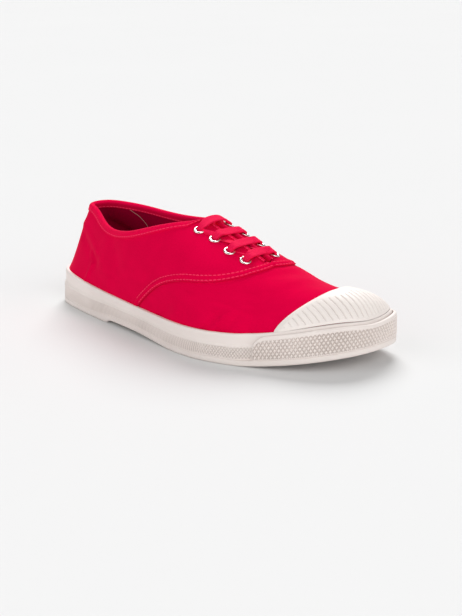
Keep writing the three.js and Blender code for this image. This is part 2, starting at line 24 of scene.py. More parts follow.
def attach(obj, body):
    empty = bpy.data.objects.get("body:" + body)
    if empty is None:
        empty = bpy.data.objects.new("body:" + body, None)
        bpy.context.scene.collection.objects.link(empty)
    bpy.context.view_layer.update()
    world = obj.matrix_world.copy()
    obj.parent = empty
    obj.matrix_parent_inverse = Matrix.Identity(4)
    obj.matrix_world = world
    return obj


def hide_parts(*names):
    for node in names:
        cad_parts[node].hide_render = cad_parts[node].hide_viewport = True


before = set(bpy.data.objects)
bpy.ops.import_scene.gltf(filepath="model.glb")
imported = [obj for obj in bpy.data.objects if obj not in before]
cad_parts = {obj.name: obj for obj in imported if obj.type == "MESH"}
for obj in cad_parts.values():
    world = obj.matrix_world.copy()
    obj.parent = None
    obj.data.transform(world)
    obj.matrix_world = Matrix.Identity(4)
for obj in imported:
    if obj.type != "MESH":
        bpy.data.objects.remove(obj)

LOG = logging.getLogger("canvas_shoe")
MM = 0.001
BODY = "root"
# Vertex layer that marks grooves and recesses for painted shade.
SHADE_LAYER = "cavity_shade"
SPLINE_ROUNDS = 40

Array = np.ndarray
Colour = tuple[float, float, float]
Point = tuple[float, float, float]


# ------------------------------------------------------------------ the form


class Section(NamedTuple):
    """One row of the form, at every tenth of the way from heel to toe, in millimetres."""

    lateral: float
    medial: float
    spine: float
    wall_top: float
    core: float
    lean: float
    rise: float
    shoulder: float
    collar_lateral: float
    collar_medial: float


SECTIONS = (
    Section(0, 0, -95, 24, 10, 6.5, 0.27, 0.47, 69.3, 69.3),
    Section(18.6, 19.6, -93, 23.9, 10, 9, 0.24, 0.47, 69, 69.8),
    Section(27, 28.8, -84, 22.1, 10, 8.5, 0.34, 0.39, 66.8, 70),
    Section(32.6, 31.3, -64, 20.2, 9.5, 4.9, 0.47, 0.41, 60.4, 68.8),
    Section(37.9, 27.5, -36, 18.7, 9, 1.5, 0.6, 0.52, 63.2, 67.4),
    Section(43.5, 29, 0, 17.6, 8, 0, 0.68, 0.61, 72.6, 70),
    Section(48.6, 38, 38, 18.1, 6.5, 0, 0.69, 0.61, 71, 73),
    Section(42.4, 42.8, 66, 20, 6.5, 2.5, 0.6, 0.51, 73, 73),
    Section(33.4, 37.6, 84, 25.6, 6.5, 5.5, 0.62, 0.47, 73, 73),
    Section(19.1, 26, 92, 28.9, 6.5, 7.5, 0.78, 0.47, 73, 73),
    Section(0, 0, 95, 28.4, 6.5, 6.5, 0.86, 0.47, 73, 73),
)
TOE = len(SECTIONS) - 1
LOOP = 2 * TOE


def smooth(low: float, high: float, value: Array) -> Array:
    """Smooth step from 0 at low to 1 at high."""
    t = np.clip((value - low) / (high - low), 0, 1)
    return t * t * (3 - 2 * t)


def unit(v: Array) -> Array:
    """The vectors at length one."""
    return v / (np.linalg.norm(v, axis=-1, keepdims=True) + 1e-12)


def cubic_weights(f: Array) -> tuple[Array, Array, Array, Array]:
    """Six times the weights of the four controls around a place, at a part f of its span."""
    return (1 - f) ** 3, 3 * f**3 - 6 * f**2 + 4, -3 * f**3 + 3 * f**2 + 3 * f + 1, f**3


def cubic(controls: Array, q: Array) -> Array:
    """Value of a closed uniform cubic spline.

    Args:
        controls: the spline's control values.
        q: places along it, one unit for each control.

    Returns:
        The value at each place.
    """
    n = len(controls)
    place = np.asarray(q, float) % n
    i = np.floor(place).astype(int)
    weights = cubic_weights(place - i)
    return sum(w * controls[(i + n - 1 + k) % n] for k, w in enumerate(weights)) / 6


def through(values: Sequence[float]) -> Array:
    """Control values of the closed cubic spline that runs through the given values."""
    wanted = np.asarray(values, float)
    controls = wanted.copy()
    for _ in range(SPLINE_ROUNDS):
        reached = (np.roll(controls, 1) + 4 * controls + np.roll(controls, -1)) / 6
        controls = controls + wanted - reached
    return controls


@dataclass
class Last:
    """The form that upper, wall and cap are laid on, in millimetres."""

    length: float = 262
    toe_swing: float = 16
    axis_y: float = -0.905
    spine_swing: float = 7
    spine_swing_x: float = 97
    foot_inset: float = 4
    toe_inset: float = 1.2
    tuck: float = 1
    strip_from: float = 7.05
    strip_blend: float = 0.3
    strip_lap: float = 0.05
    arch_rise: float = 2.4
    spring_x: float = 70
    spring_rise: float = 0.048
    spring_power: float = 1.3
    edge_height: float = 3.6
    throat_half: float = 1.7
    throat_top_x: float = 7
    throat_end_x: float = 57
    corner: float = 0.12
    slit_round: float = 0.06
    ridge_start: float = -100
    ridge_step: float = 20
    ridge: tuple[float, ...] = (80.5, 84, 86.7, 86.7, 81.7, 74.8, 67.7, 60.5, 51.3, 43.2, 41.8)
    columns: dict[str, Array] = field(default_factory=dict)
    throat_top: float = field(init=False)
    throat_end: float = field(init=False)

    def __post_init__(self) -> None:
        """Works the closed columns out from the table."""
        half = self.length / 2
        x = [-half * math.cos(math.pi * i / TOE) for i in range(TOE + 1)]
        middle = [self.axis_y + self.toe_swing * (max(v, 0) / half) ** 2 for v in x]
        lateral = [m - s.lateral for m, s in zip(middle, SECTIONS)]
        medial = [m + s.medial for m, s in zip(middle, SECTIONS)]
        self.columns["x"] = self.closed(x, x)
        self.columns["y"] = self.closed(lateral, medial)
        for name in ("spine", "wall_top", "core", "lean", "rise", "shoulder"):
            values = [getattr(s, name) for s in SECTIONS]
            self.columns[name] = self.closed(values, values)
        self.columns["collar"] = self.closed(
            [s.collar_lateral for s in SECTIONS], [s.collar_medial for s in SECTIONS]
        )
        self.throat_top = self.row_of_spine(self.throat_top_x)
        self.throat_end = self.row_of_spine(self.throat_end_x)

    @staticmethod
    def closed(outer: Sequence[float], inner: Sequence[float]) -> Array:
        """One column round the shoe: the outer side to the toe, the inner side back."""
        return through([*outer, *reversed(inner[1:TOE])])

    def value(self, name: str, q: Array) -> Array:
        """Value of a column at loop places q."""
        return cubic(self.columns[name], q)

    @staticmethod
    def row(q: Array) -> Array:
        """Row of a loop place, counted from the heel on either side."""
        q = np.asarray(q, float) % LOOP
        return np.where(q <= TOE, q, LOOP - q)

    def row_of_spine(self, x: float) -> float:
        """Loop place on the outer side whose rib runs to spine x."""
        places = np.linspace(0, TOE, 4001)
        return float(np.interp(x, self.value("spine", places), places))

    def behind_strip(self, q: Array) -> Array:
        """1 behind the toe strip and 0 in front of its ends."""
        start = self.strip_from - self.strip_blend - self.strip_lap
        return smooth(start, self.strip_from - self.strip_lap, self.row(q))

    def foot(self, q: Array) -> Array:
        """How far the canvas stands inside the outline behind the wall."""
        return self.foot_inset + self.toe_inset * self.behind_strip(q)

    def outline(self, q: Array, inset: Array) -> tuple[Array, Array]:
        """Points of the sole's outline, moved in.

        Args:
            q: loop places.
            inset: distance inside the outline.

        Returns:
            Their x and y.
        """
        step = 0.01
        dx = self.value("x", q + step) - self.value("x", q - step)
        dy = self.value("y", q + step) - self.value("y", q - step)
        n = np.hypot(dx, dy)
        return self.value("x", q) - dy / n * inset, self.value("y", q) + dx / n * inset

    def lift(self, x: Array) -> Array:
        """Rise of the sole at x: flat heel, arch, flat ball, toe spring."""
        arch = self.arch_rise * smooth(-82, -46, x) * (1 - smooth(-30, 22, x))
        return arch + self.spring_rise * np.maximum(0, x - self.spring_x) ** self.spring_power

    def edge_top(self, q: Array) -> Array:
        """Top of the outsole's visible edge."""
        return self.lift(self.value("x", q)) + self.edge_height

    def ridge_at(self, x: Array) -> tuple[Array, Array]:
        """Height and slope of the instep ridge at x."""
        r = self.ridge
        values = np.array([2 * r[0] - r[1], *r, 2 * r[-1] - r[-2], 2 * r[-1] - r[-2]])

        def height(at: Array) -> Array:
            place = np.clip((at - self.ridge_start) / self.ridge_step, 0, len(r) - 1.001)
            i = np.floor(place).astype(int)
            weights = cubic_weights(place - i)
            return sum(w * values[i + k] for k, w in enumerate(weights)) / 6

        return height(x), height(x + 0.5) - height(x - 0.5)

    def spine_point(self, q: Array) -> Array:
        """Point of the ridge that the rib at q runs to."""
        x = self.value("spine", q)
        y = self.axis_y + self.spine_swing * (np.maximum(x, 0) / self.spine_swing_x) ** 2
        return np.stack([x, y, self.ridge_at(x)[0]], -1)

    def rib(self, q: Array, u: Array) -> Array:
        """Points of the canvas's outer surface at loop places q and parts u of their ribs."""
        q, u = np.broadcast_arrays(np.asarray(q, float), np.asarray(u, float))
        fx, fy = self.outline(q, self.foot(q))
        fz = self.value("wall_top", q) - self.tuck
        top = self.spine_point(q)
        run = np.hypot(top[..., 0] - fx, top[..., 1] - fy)
        ux = (top[..., 0] - fx) / run
        uy = (top[..., 1] - fy) / run
        flat = run * self.value("shoulder", q)
        b = ((1 - u) ** 3, 3 * u * (1 - u) ** 2, 3 * u * u * (1 - u), u**3)
        r = b[1] * self.value("lean", q) + b[2] * (run - flat) + b[3] * run
        z1 = fz + self.value("rise", q) * (top[..., 2] - fz)
        z2 = top[..., 2] - flat * ux * self.ridge_at(top[..., 0])[1]
        z = b[0] * fz + b[1] * z1 + b[2] * z2 + b[3] * top[..., 2]
        return np.stack([fx + ux * r, fy + uy * r, z], -1)

    def normal(self, q: Array, u: Array) -> Array:
        """Outward normals of the canvas's surface."""
        q, u = np.broadcast_arrays(np.asarray(q, float), np.asarray(u, float))
        along = self.rib(q + 0.02, u) - self.rib(q - 0.02, u)
        up = self.rib(q, np.minimum(u + 0.01, 1)) - self.rib(q, np.maximum(u - 0.01, 0))
        slope = self.ridge_at(self.value("spine", q))[1]
        on_ridge = np.stack([-slope, np.zeros_like(slope), np.ones_like(slope)], -1)
        return unit(np.where((u > 0.995)[..., None], on_ridge, np.cross(along, up)))

    def form(self, q: Array, u: Array, out: Array) -> Array:
        """Points at a distance outside (or, negative, inside) the canvas's surface."""
        return self.rib(q, u) + self.normal(q, u) * np.asarray(out, float)[..., None]

    def part_where(self, q: Array, test: Callable[[Array], Array]) -> Array:
        """The u on each rib where a rising test on its points first turns true."""
        low = np.zeros_like(q, float)
        high = np.ones_like(low)
        for _ in range(26):
            middle = (low + high) / 2
            yes = test(self.rib(q, middle))
            high = np.where(yes, middle, high)
            low = np.where(yes, low, middle)
        return (low + high) / 2

    def beside_ridge(self, q: Array, distance: Array) -> Array:
        """The u on each rib at a distance from the ridge, seen from above."""
        q = np.asarray(q, float)
        top = self.spine_point(q)
        return self.part_where(q, lambda p: np.hypot(*(p - top)[..., :2].T).T < distance)

    def canvas_end(self, q: Array) -> Array:
        """The u where the canvas ends: collar, throat edge, or the ridge in front of the slit."""
        q = np.asarray(q, float)
        row = self.row(q)
        height = self.value("collar", q)
        collar = self.part_where(q, lambda p: p[..., 2] > height)
        throat = self.beside_ridge(q, self.throat_half)
        turn = smooth(self.throat_top - self.corner, self.throat_top + self.corner, row)
        edge = collar + (throat - collar) * turn
        close = np.clip(1 - (self.throat_end - row) / self.slit_round, 0, 1)
        edge = edge + (1 - edge) * (1 - np.sqrt(1 - close * close))
        return np.where(row >= self.throat_end, 1.0, edge)

    def walk(self, q: Array, u: Array, target: Array) -> tuple[Array, Array]:
        """Places whose surface points come nearest to targets close to the places given.

        Args:
            q: loop places to start from.
            u: parts of their ribs.
            target: the wanted points, in millimetres.

        Returns:
            The new places q and u.
        """
        for _ in range(4):
            here = self.rib(q, u)
            dq = (self.rib(q + 0.01, u) - here) / 0.01
            du = (self.rib(q, u + 0.005) - here) / 0.005
            gap = target - here
            a, b, c = (dq * dq).sum(-1), (dq * du).sum(-1), (du * du).sum(-1)
            e, f = (dq * gap).sum(-1), (du * gap).sum(-1)
            det = a * c - b * b
            q = q + (e * c - f * b) / det
            u = u + (f * a - e * b) / det
        return q, u

    def arc(self, q: Array) -> Array:
        """Length along the sole's outline from the heel to loop places q."""
        places = np.linspace(0, LOOP, 4001)
        x, y = self.outline(places, np.zeros_like(places))
        length = np.concatenate([[0], np.cumsum(np.hypot(np.diff(x), np.diff(y)))])
        return np.interp(q, places, length)

    def place_at_arc(self, length: Array) -> Array:
        """Loop places at lengths along the sole's outline from the heel."""
        places = np.linspace(0, LOOP, 4001)
        return np.interp(length, self.arc(places), places)


LAST = Last()


# ------------------------------------------------------------------ finishes


class Coords(Enum):
    """What a finish's pattern follows."""

    SURFACE = "UVMap"
    OBJECT = "Object"


class Graph:
    """A material's node tree, built in reading order."""

    def __init__(self, name: str) -> None:
        """Starts a material with a principled shader."""
        self.material = bpy.data.materials.new(name)
        self.material.use_nodes = True
        self.tree = self.material.node_tree
        self.shader = self.tree.nodes["Principled BSDF"]

    def node(self, kind: str, inputs: dict | None = None, **settings: object) -> bpy.types.Node:
        """Adds a node.

        Args:
            kind: its type name.
            inputs: values or sockets for its inputs, by name or number.
            settings: its own properties.

        Returns:
            The node.
        """
        node = self.tree.nodes.new(kind)
        for key, value in settings.items():
            setattr(node, key, value)
        for key, value in (inputs or {}).items():
            self.feed(node.inputs[key], value)
        return node

    def feed(self, socket: bpy.types.NodeSocket, value: object) -> None:
        """Links a socket to an input, or sets the input's value."""
        if isinstance(value, bpy.types.NodeSocket):
            self.tree.links.new(value, socket)
        else:
            socket.default_value = value

    def math(self, operation: str, *values: object) -> bpy.types.NodeSocket:
        """Output of a math node on one to three values."""
        node = self.node("ShaderNodeMath", dict(enumerate(values)), operation=operation)
        return node.outputs[0]

    def coordinates(self, coords: Coords) -> bpy.types.NodeSocket:
        """The surface's own coordinates in millimetres, or the object's in metres."""
        if coords is Coords.SURFACE:
            return self.node("ShaderNodeUVMap", uv_map=coords.value).outputs["UV"]
        return self.node("ShaderNodeTexCoord").outputs["Object"]

    def noise(
        self, vector: bpy.types.NodeSocket, scale: float, detail: float = 2
    ) -> bpy.types.NodeSocket:
        """Value of a noise texture."""
        inputs = {"Vector": vector, "Scale": scale, "Detail": detail}
        return self.node("ShaderNodeTexNoise", inputs).outputs[0]

    def blend(self, factor: object, first: Colour, second: Colour) -> bpy.types.NodeSocket:
        """A colour between two, by a factor."""
        ramp = self.node("ShaderNodeValToRGB", {0: factor})
        ramp.color_ramp.elements[0].color = (*first, 1)
        ramp.color_ramp.elements[1].color = (*second, 1)
        return ramp.outputs["Color"]

    def set(self, roughness: float | None = None, specular: float | None = None) -> None:
        """Sets the shader's roughness and gloss where they are given."""
        for key, value in (("Roughness", roughness), ("Specular IOR Level", specular)):
            if value is not None:
                self.shader.inputs[key].default_value = value

    def set_sheen(self, weight: float, roughness: float, tint: Colour) -> None:
        """Sets the shader's sheen."""
        self.shader.inputs["Sheen Weight"].default_value = weight
        self.shader.inputs["Sheen Roughness"].default_value = roughness
        self.shader.inputs["Sheen Tint"].default_value = (*tint, 1)

    def bump(self, height: bpy.types.NodeSocket, distance: float, strength: float) -> None:
        """Feeds a height into the shader's normal."""
        inputs = {"Height": height, "Distance": distance, "Strength": strength}
        self.feed(self.shader.inputs["Normal"], self.node("ShaderNodeBump", inputs).outputs["Normal"])


@dataclass(frozen=True)
class ClothFinish:
    """A plain woven cloth: threads over and under, slightly uneven in colour."""

    name: str
    colour: Colour
    shade: Colour
    pitch: float = 0.55
    relief: float = 0.0
    sheen: float = 0.32
    sheen_tint: Colour = (1.0, 0.2, 0.28)
    roughness: float = 0.85
    coords: Coords = Coords.SURFACE

    def build(self) -> bpy.types.Material:
        """The finish as a material."""
        g = Graph(self.name)
        at = g.coordinates(self.coords)
        per_mm = 1.0 if self.coords is Coords.SURFACE else 1000.0
        parts = g.node("ShaderNodeSeparateXYZ", {0: at}).outputs
        waves = [g.math("SINE", g.math("MULTIPLY", p, math.pi * per_mm / self.pitch)) for p in parts[:2]]
        weave = g.math("MULTIPLY", *waves)
        slub = g.noise(at, 0.9 * per_mm, 3)
        patch = g.noise(at, 0.06 * per_mm, 2)
        factor = g.math("MULTIPLY_ADD", weave, 0.15, g.math("MULTIPLY_ADD", slub, 0.55, 0.0))
        factor = g.math("MULTIPLY_ADD", patch, 0.45, factor)
        g.feed(g.shader.inputs["Base Color"], g.blend(factor, self.shade, self.colour))
        if self.relief:
            g.bump(g.math("MULTIPLY_ADD", slub, 1.6, weave), self.relief, 0.8)
        g.set(roughness=self.roughness, specular=0.0)
        g.set_sheen(self.sheen, 0.32, self.sheen_tint)
        return g.material


@dataclass(frozen=True)
class BraidFinish:
    """A flat braided cord: slanting strands that meet in the middle."""

    name: str
    colour: Colour
    shade: Colour
    strand: float = 0.9
    relief: float = 0.00010

    def build(self) -> bpy.types.Material:
        """The finish as a material."""
        g = Graph(self.name)
        at = g.coordinates(Coords.SURFACE)
        parts = g.node("ShaderNodeSeparateXYZ", {0: at}).outputs
        side = g.math("ABSOLUTE", parts[1])
        slant = g.math("MULTIPLY", g.math("ADD", parts[0], side), 2 * math.pi / self.strand)
        rows = g.math("MULTIPLY", parts[1], 2 * math.pi / self.strand)
        weft = g.math("MULTIPLY", g.math("SINE", rows), 0.3)
        strands = g.math("MULTIPLY_ADD", g.math("SINE", slant), 0.6, weft)
        fluff = g.noise(at, 1.3, 3)
        factor = g.math("MULTIPLY_ADD", strands, 0.25, fluff)
        g.feed(g.shader.inputs["Base Color"], g.blend(factor, self.shade, self.colour))
        g.bump(g.math("ADD", strands, fluff), self.relief, 1.0)
        g.set(roughness=0.8, specular=0.03)
        g.set_sheen(0.2, 0.4, (1.0, 0.1, 0.16))
        return g.material


@dataclass(frozen=True)
class RubberFinish:
    """Moulded off-white rubber: faint grain, dusty patches, darker near the floor, painted shade in hollows.
    """

    name: str
    colour: Colour
    dust_and_shade: Colour
    hollow_shade: Colour = (0.50, 0.43, 0.39)
    roughness: float = 0.55

    def build(self) -> bpy.types.Material:
        """The finish as a material."""
        g = Graph(self.name)
        at = g.coordinates(Coords.OBJECT)
        cloud = g.noise(at, 45, 3)
        grain = g.noise(at, 2600, 2)
        height = g.node("ShaderNodeSeparateXYZ", {0: at}).outputs[2]
        # Darker towards the bottom, within about 11 mm of the floor.
        low = g.math("SUBTRACT", 1.0, g.math("MULTIPLY", height, 90.0))
        low = g.math("MAXIMUM", low, 0.0)
        even = g.math("MULTIPLY_ADD", cloud, 0.6, 0.55)
        rubber_tone = g.math("SUBTRACT", even, g.math("MULTIPLY", low, 0.25))
        # Painted shade: the colour turns towards the ramp's darkest stop wherever the mesh's layer marks a
        # groove or recess.
        cavity_shade = g.node("ShaderNodeAttribute", attribute_name=SHADE_LAYER).outputs["Fac"]
        ramp = g.node("ShaderNodeValToRGB", {0: g.math("MULTIPLY_ADD", cavity_shade, -0.65, rubber_tone)})
        # The darkest stop is the painted shade of hollows. The middle stop is reached both by dusty patches
        # at random and by that painted shade.
        ramp.color_ramp.elements[0].color = (*self.hollow_shade, 1)
        ramp.color_ramp.elements.new(0.5).color = (*self.dust_and_shade, 1)
        ramp.color_ramp.elements[2].color = (*self.colour, 1)
        g.feed(g.shader.inputs["Base Color"], ramp.outputs["Color"])
        rough = g.math("MULTIPLY_ADD", cloud, 0.16, self.roughness - 0.08)
        g.feed(g.shader.inputs["Roughness"], rough)
        g.bump(grain, 0.00004, 0.5)
        g.set(specular=0.35)
        return g.material


@dataclass(frozen=True)
class NickelFinish:
    """Polished nickel plate with faint scratches."""

    name: str
    colour: Colour

    def build(self) -> bpy.types.Material:
        """The finish as a material."""
        g = Graph(self.name)
        at = g.coordinates(Coords.OBJECT)
        wear = g.noise(at, 900, 3)
        g.shader.inputs["Metallic"].default_value = 1.0
        dull = tuple(0.86 * c for c in self.colour)
        g.feed(g.shader.inputs["Base Color"], g.blend(wear, dull, self.colour))
        g.feed(g.shader.inputs["Roughness"], g.math("MULTIPLY_ADD", wear, 0.16, 0.1))
        g.bump(wear, 0.00003, 0.3)
        return g.material


CANVAS = ClothFinish("red_canvas", (0.85, 0.0006, 0.062), (0.58, 0.0003, 0.038))
BINDING = ClothFinish("red_tape", (0.92, 0.003, 0.070), (0.70, 0.001, 0.050), pitch=0.8, relief=0.00010)
LINING = ClothFinish("red_lining", (0.42, 0.0005, 0.040), (0.30, 0.0004, 0.029), pitch=0.7, sheen=0.05)
SOCK = ClothFinish(
    "red_sock", (0.38, 0.0005, 0.036), (0.28, 0.0004, 0.027), pitch=0.7, sheen=0.05, coords=Coords.OBJECT
)
CORD = BraidFinish("red_braid", (1.0, 0.016, 0.105), (0.78, 0.002, 0.055))
THREAD = ClothFinish("red_thread", (1.0, 0.06, 0.16), (0.94, 0.03, 0.12), pitch=0.5, relief=0.00003)
PALE_THREAD = ClothFinish(
    "pale_thread", (0.62, 0.34, 0.30), (0.45, 0.2, 0.18), pitch=0.5, relief=0.00005, sheen_tint=(1, 1, 1)
)
RUBBER = RubberFinish("sole_white", (0.85, 0.775, 0.735), (0.77, 0.69, 0.65))
# Painted light: the cap's rubber is a touch lighter than the wall's, standing in for the brighter light on
# the cap.
CAP_RUBBER = RubberFinish("cap_white", (0.88, 0.815, 0.775), (0.80, 0.73, 0.69), roughness=0.48)
NICKEL = NickelFinish("nickel", (0.86, 0.86, 0.83))


# ------------------------------------------------------------------ mesh work


def deselect() -> None:
    """Leaves edit mode and deselects everything."""
    if bpy.context.object is not None and bpy.context.object.mode != "OBJECT":
        bpy.ops.object.mode_set(mode="OBJECT")
    bpy.ops.object.select_all(action="DESELECT")


def pick(obj: bpy.types.Object) -> None:
    """Selects one object and makes it the active one."""
    deselect()
    obj.select_set(True)
    bpy.context.view_layer.objects.active = obj


@contextmanager
def editing(obj: bpy.types.Object) -> Iterator[None]:
    """Edit mode on one object, left again at the end."""
    pick(obj)
    bpy.ops.object.mode_set(mode="EDIT")
    yield
    bpy.ops.object.mode_set(mode="OBJECT")


def turn_out() -> None:
    """In edit mode, turns all faces of a closed mesh outwards."""
    bpy.ops.mesh.select_all(action="SELECT")
    bpy.ops.mesh.normals_make_consistent(inside=False)


def modify(obj: bpy.types.Object, kind: str, **settings: object) -> None:
    """Adds a modifier, sets it and applies it."""
    pick(obj)
    bpy.ops.object.modifier_add(type=kind)
    modifier = obj.modifiers[-1]
    for key, value in settings.items():
        setattr(modifier, key, value)
    bpy.ops.object.modifier_apply(modifier=modifier.name)


def weld(obj: bpy.types.Object, distance: float = 0.004, recalculate: bool = False) -> None:
    """Joins vertices that lie together, at a distance in millimetres."""
    with editing(obj):
        bpy.ops.mesh.select_all(action="SELECT")
        bpy.ops.mesh.remove_doubles(threshold=distance * MM)
        if recalculate:
            turn_out()


def close_ends(sheet: bpy.types.Object) -> None:
    """Fills all open edges of a mesh, meant for a tube's two ends, and turns its faces out."""
    with editing(sheet):
        bpy.ops.mesh.select_all(action="DESELECT")
        bpy.ops.mesh.select_non_manifold(
            extend=False, use_wire=False, use_multi_face=False, use_non_contiguous=False, use_verts=False
        )
        bpy.ops.mesh.fill()
        turn_out()


def join(name: str, pieces: Sequence[bpy.types.Object]) -> bpy.types.Object:
    """Joins pieces into the first one and names it."""
    pick(pieces[0])
    for piece in pieces[1:]:
        piece.select_set(True)
    bpy.ops.object.join()
    pieces[0].name = name
    return pieces[0]


def shade(obj: bpy.types.Object, angle: float = 40) -> None:
    """Smooth shading with edges over the angle kept, in degrees."""
    pick(obj)
    bpy.ops.object.shade_smooth_by_angle(angle=math.radians(angle))


def lay_sheet(name: str, points: Array, middle: float = 0.5) -> bpy.types.Object:
    """Adds a flat grid and lays it on a surface.

    Args:
        name: the piece's name.
        points: rows by columns of points in millimetres; columns by rows face outwards.
        middle: the column, as a part of the width, from which the pattern is measured.

    Returns:
        The open sheet, with a map in millimetres along its rows and columns.
    """
    rows, columns = points.shape[:2]
    deselect()
    bpy.ops.mesh.primitive_grid_add(x_subdivisions=columns - 1, y_subdivisions=rows - 1, size=1)
    obj = bpy.context.object
    obj.name = name
    mesh = obj.data
    mesh.vertices.foreach_set("co", (points.reshape(-1, 3) * MM).ravel())
    across = np.linalg.norm(np.diff(points, axis=1), axis=-1)
    along = np.concatenate([np.zeros((rows, 1)), np.cumsum(across, 1)], 1)
    start = int(round(middle * (columns - 1)))
    along = along - along[:, start : start + 1]
    up = np.linalg.norm(np.diff(points, axis=0), axis=-1)
    height = np.concatenate([np.zeros((1, columns)), np.cumsum(up, 0)], 0)
    set_map(obj, np.stack([along, height], -1).reshape(-1, 2))
    return obj


def set_map(obj: bpy.types.Object, places: Array) -> None:
    """Writes a piece's map from one place for each vertex."""
    mesh = obj.data
    layer = mesh.uv_layers.get(Coords.SURFACE.value) or mesh.uv_layers.new(name=Coords.SURFACE.value)
    corners = np.zeros(len(mesh.loops), dtype=np.int32)
    mesh.loops.foreach_get("vertex_index", corners)
    layer.data.foreach_set("uv", places[corners].astype(np.float32).ravel())
    mesh.update()


def set_cavity_shade(obj: bpy.types.Object, depth: Array) -> None:
    """Writes how deep in a recess each vertex lies, 0 to 1, which sets the painted shade there."""
    layer = obj.data.attributes.new(SHADE_LAYER, "FLOAT", "POINT")
    layer.data.foreach_set("value", np.clip(depth, 0, 1).astype(np.float32).ravel())


def smooth_line(points: Sequence[Sequence[float]], count: int) -> Array:
    """Points evenly spread in number along a smooth line through the given ones.

    Args:
        points: places of any number of dimensions.
        count: how many points to give back.

    Returns:
        The line's points.
    """
    p = np.asarray(points, float)
    ends = np.concatenate([[2 * p[0] - p[1]], p, [2 * p[-1] - p[-2]]])
    t = np.linspace(0, len(p) - 1, count)
    i = np.minimum(t.astype(int), len(p) - 2)
    f = (t - i)[:, None]
    a, b, c, d = (ends[i + k] for k in range(4))
    square, cube = 2 * a - 5 * b + 4 * c - d, 3 * b - a - 3 * c + d
    return 0.5 * (2 * b + (c - a) * f + square * f**2 + cube * f**3)


def along_line(line: Array, distances: Array) -> Array:
    """Points of a polyline at distances from its start."""
    lengths = np.concatenate([[0], np.cumsum(np.linalg.norm(np.diff(line, axis=0), axis=1))])
    return np.stack([np.interp(distances, lengths, line[:, k]) for k in range(line.shape[1])], -1)


def line_length(line: Array) -> float:
    """Length of a polyline."""
    return float(np.linalg.norm(np.diff(line, axis=0), axis=1).sum())


@dataclass(frozen=True)
class Bead:
    """One stitch of thread, in millimetres."""

    pitch: float = 2.7
    length: float = 2.45
    radius: float = 0.34


def stitch_row(name: str, line: Array, outward: Array, bead: Bead) -> bpy.types.Object:
    """A row of stitches along a line, as one mesh.

    Args:
        name: the piece's name.
        line: points on the cloth, in millimetres.
        outward: the cloth's outward direction at each.
        bead: the stitch that is repeated.

    Returns:
        The joined stitches.
    """
    count = max(int(line_length(line) / bead.pitch), 1)
    at = (np.arange(count) + 0.5) * line_length(line) / count
    centre = along_line(line, at)
    ahead = along_line(line, at + 0.4)
    frame_x = unit(ahead - centre)
    side = along_line(np.concatenate([line, outward], 1), at)[:, 3:]
    frame_y = unit(np.cross(unit(side), frame_x))
    frame_z = np.cross(frame_x, frame_y)
    deselect()
    bpy.ops.mesh.primitive_uv_sphere_add(segments=6, ring_count=5, radius=1)
    seed = bpy.context.object
    shape = np.array([v.co for v in seed.data.vertices])
    faces = [list(p.vertices) for p in seed.data.polygons]
    bpy.data.objects.remove(seed)
    size = np.array([bead.length / 2, bead.radius, bead.radius * 0.8])
    own = shape[:, [2, 0, 1]] * size
    where = (
        centre[:, None]
        + own[None, :, 0:1] * frame_x[:, None]
        + own[None, :, 1:2] * frame_y[:, None]
        + own[None, :, 2:3] * frame_z[:, None]
    )
    mesh = bpy.data.meshes.new(name)
    step = len(shape)
    all_faces = [[k * step + i for i in face] for k in range(count) for face in faces]
    mesh.from_pydata((where.reshape(-1, 3) * MM).tolist(), [], all_faces)
    mesh.update()
    obj = bpy.data.objects.new(name, mesh)
    bpy.context.collection.objects.link(obj)
    places = np.stack([own[:, 0], own[:, 1] * 3.0], -1)
    set_map(obj, np.tile(places, (count, 1)) + np.repeat(np.arange(count), step)[:, None] * bead.pitch)
    weld(obj, 0.0005, recalculate=True)
    shade(obj, 80)
    return obj


def dress(
    obj: bpy.types.Object, finish: object, replaces: Sequence[str] = ()
) -> bpy.types.Object:
    """Gives a piece its finish and its body.

    Args:
        obj: the piece.
        finish: a finish with a build method.
        replaces: CAD nodes that it stands for.

    Returns:
        The piece.
    """
    obj.data.materials.clear()
    obj.data.materials.append(material_of(finish))
    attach(obj, BODY)
    if replaces:
        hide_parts(*replaces)
    triangles = sum(len(p.vertices) - 2 for p in obj.data.polygons)
    LOG.info("%s: %d triangles", obj.name, triangles)
    return obj


_MADE: dict[str, bpy.types.Material] = {}


def material_of(finish: object) -> bpy.types.Material:
    """The finish's material, built once."""
    if finish.name not in _MADE:
        _MADE[finish.name] = finish.build()
    return _MADE[finish.name]


# ------------------------------------------------------------------ creases


@dataclass(frozen=True)
class Fold:
    """A soft trough (negative height) or ridge between two places on the canvas, in millimetres.

    The height is multiplied by FOLD_STRENGTH, which deepens all folds alike.
    """

    start: Point
    end: Point
    width: float
    height: float

    def lift(self, points: Array) -> Array:
        """How far it moves the cloth out at each point."""
        a = np.array(self.start)
        d = np.array(self.end) - a
        t = np.clip(((points - a) @ d) / (d @ d), 0, 1)
        gap = np.linalg.norm(points - a - t[..., None] * d, axis=-1)
        return FOLD_STRENGTH * self.height * np.exp(-((gap / self.width) ** 2))


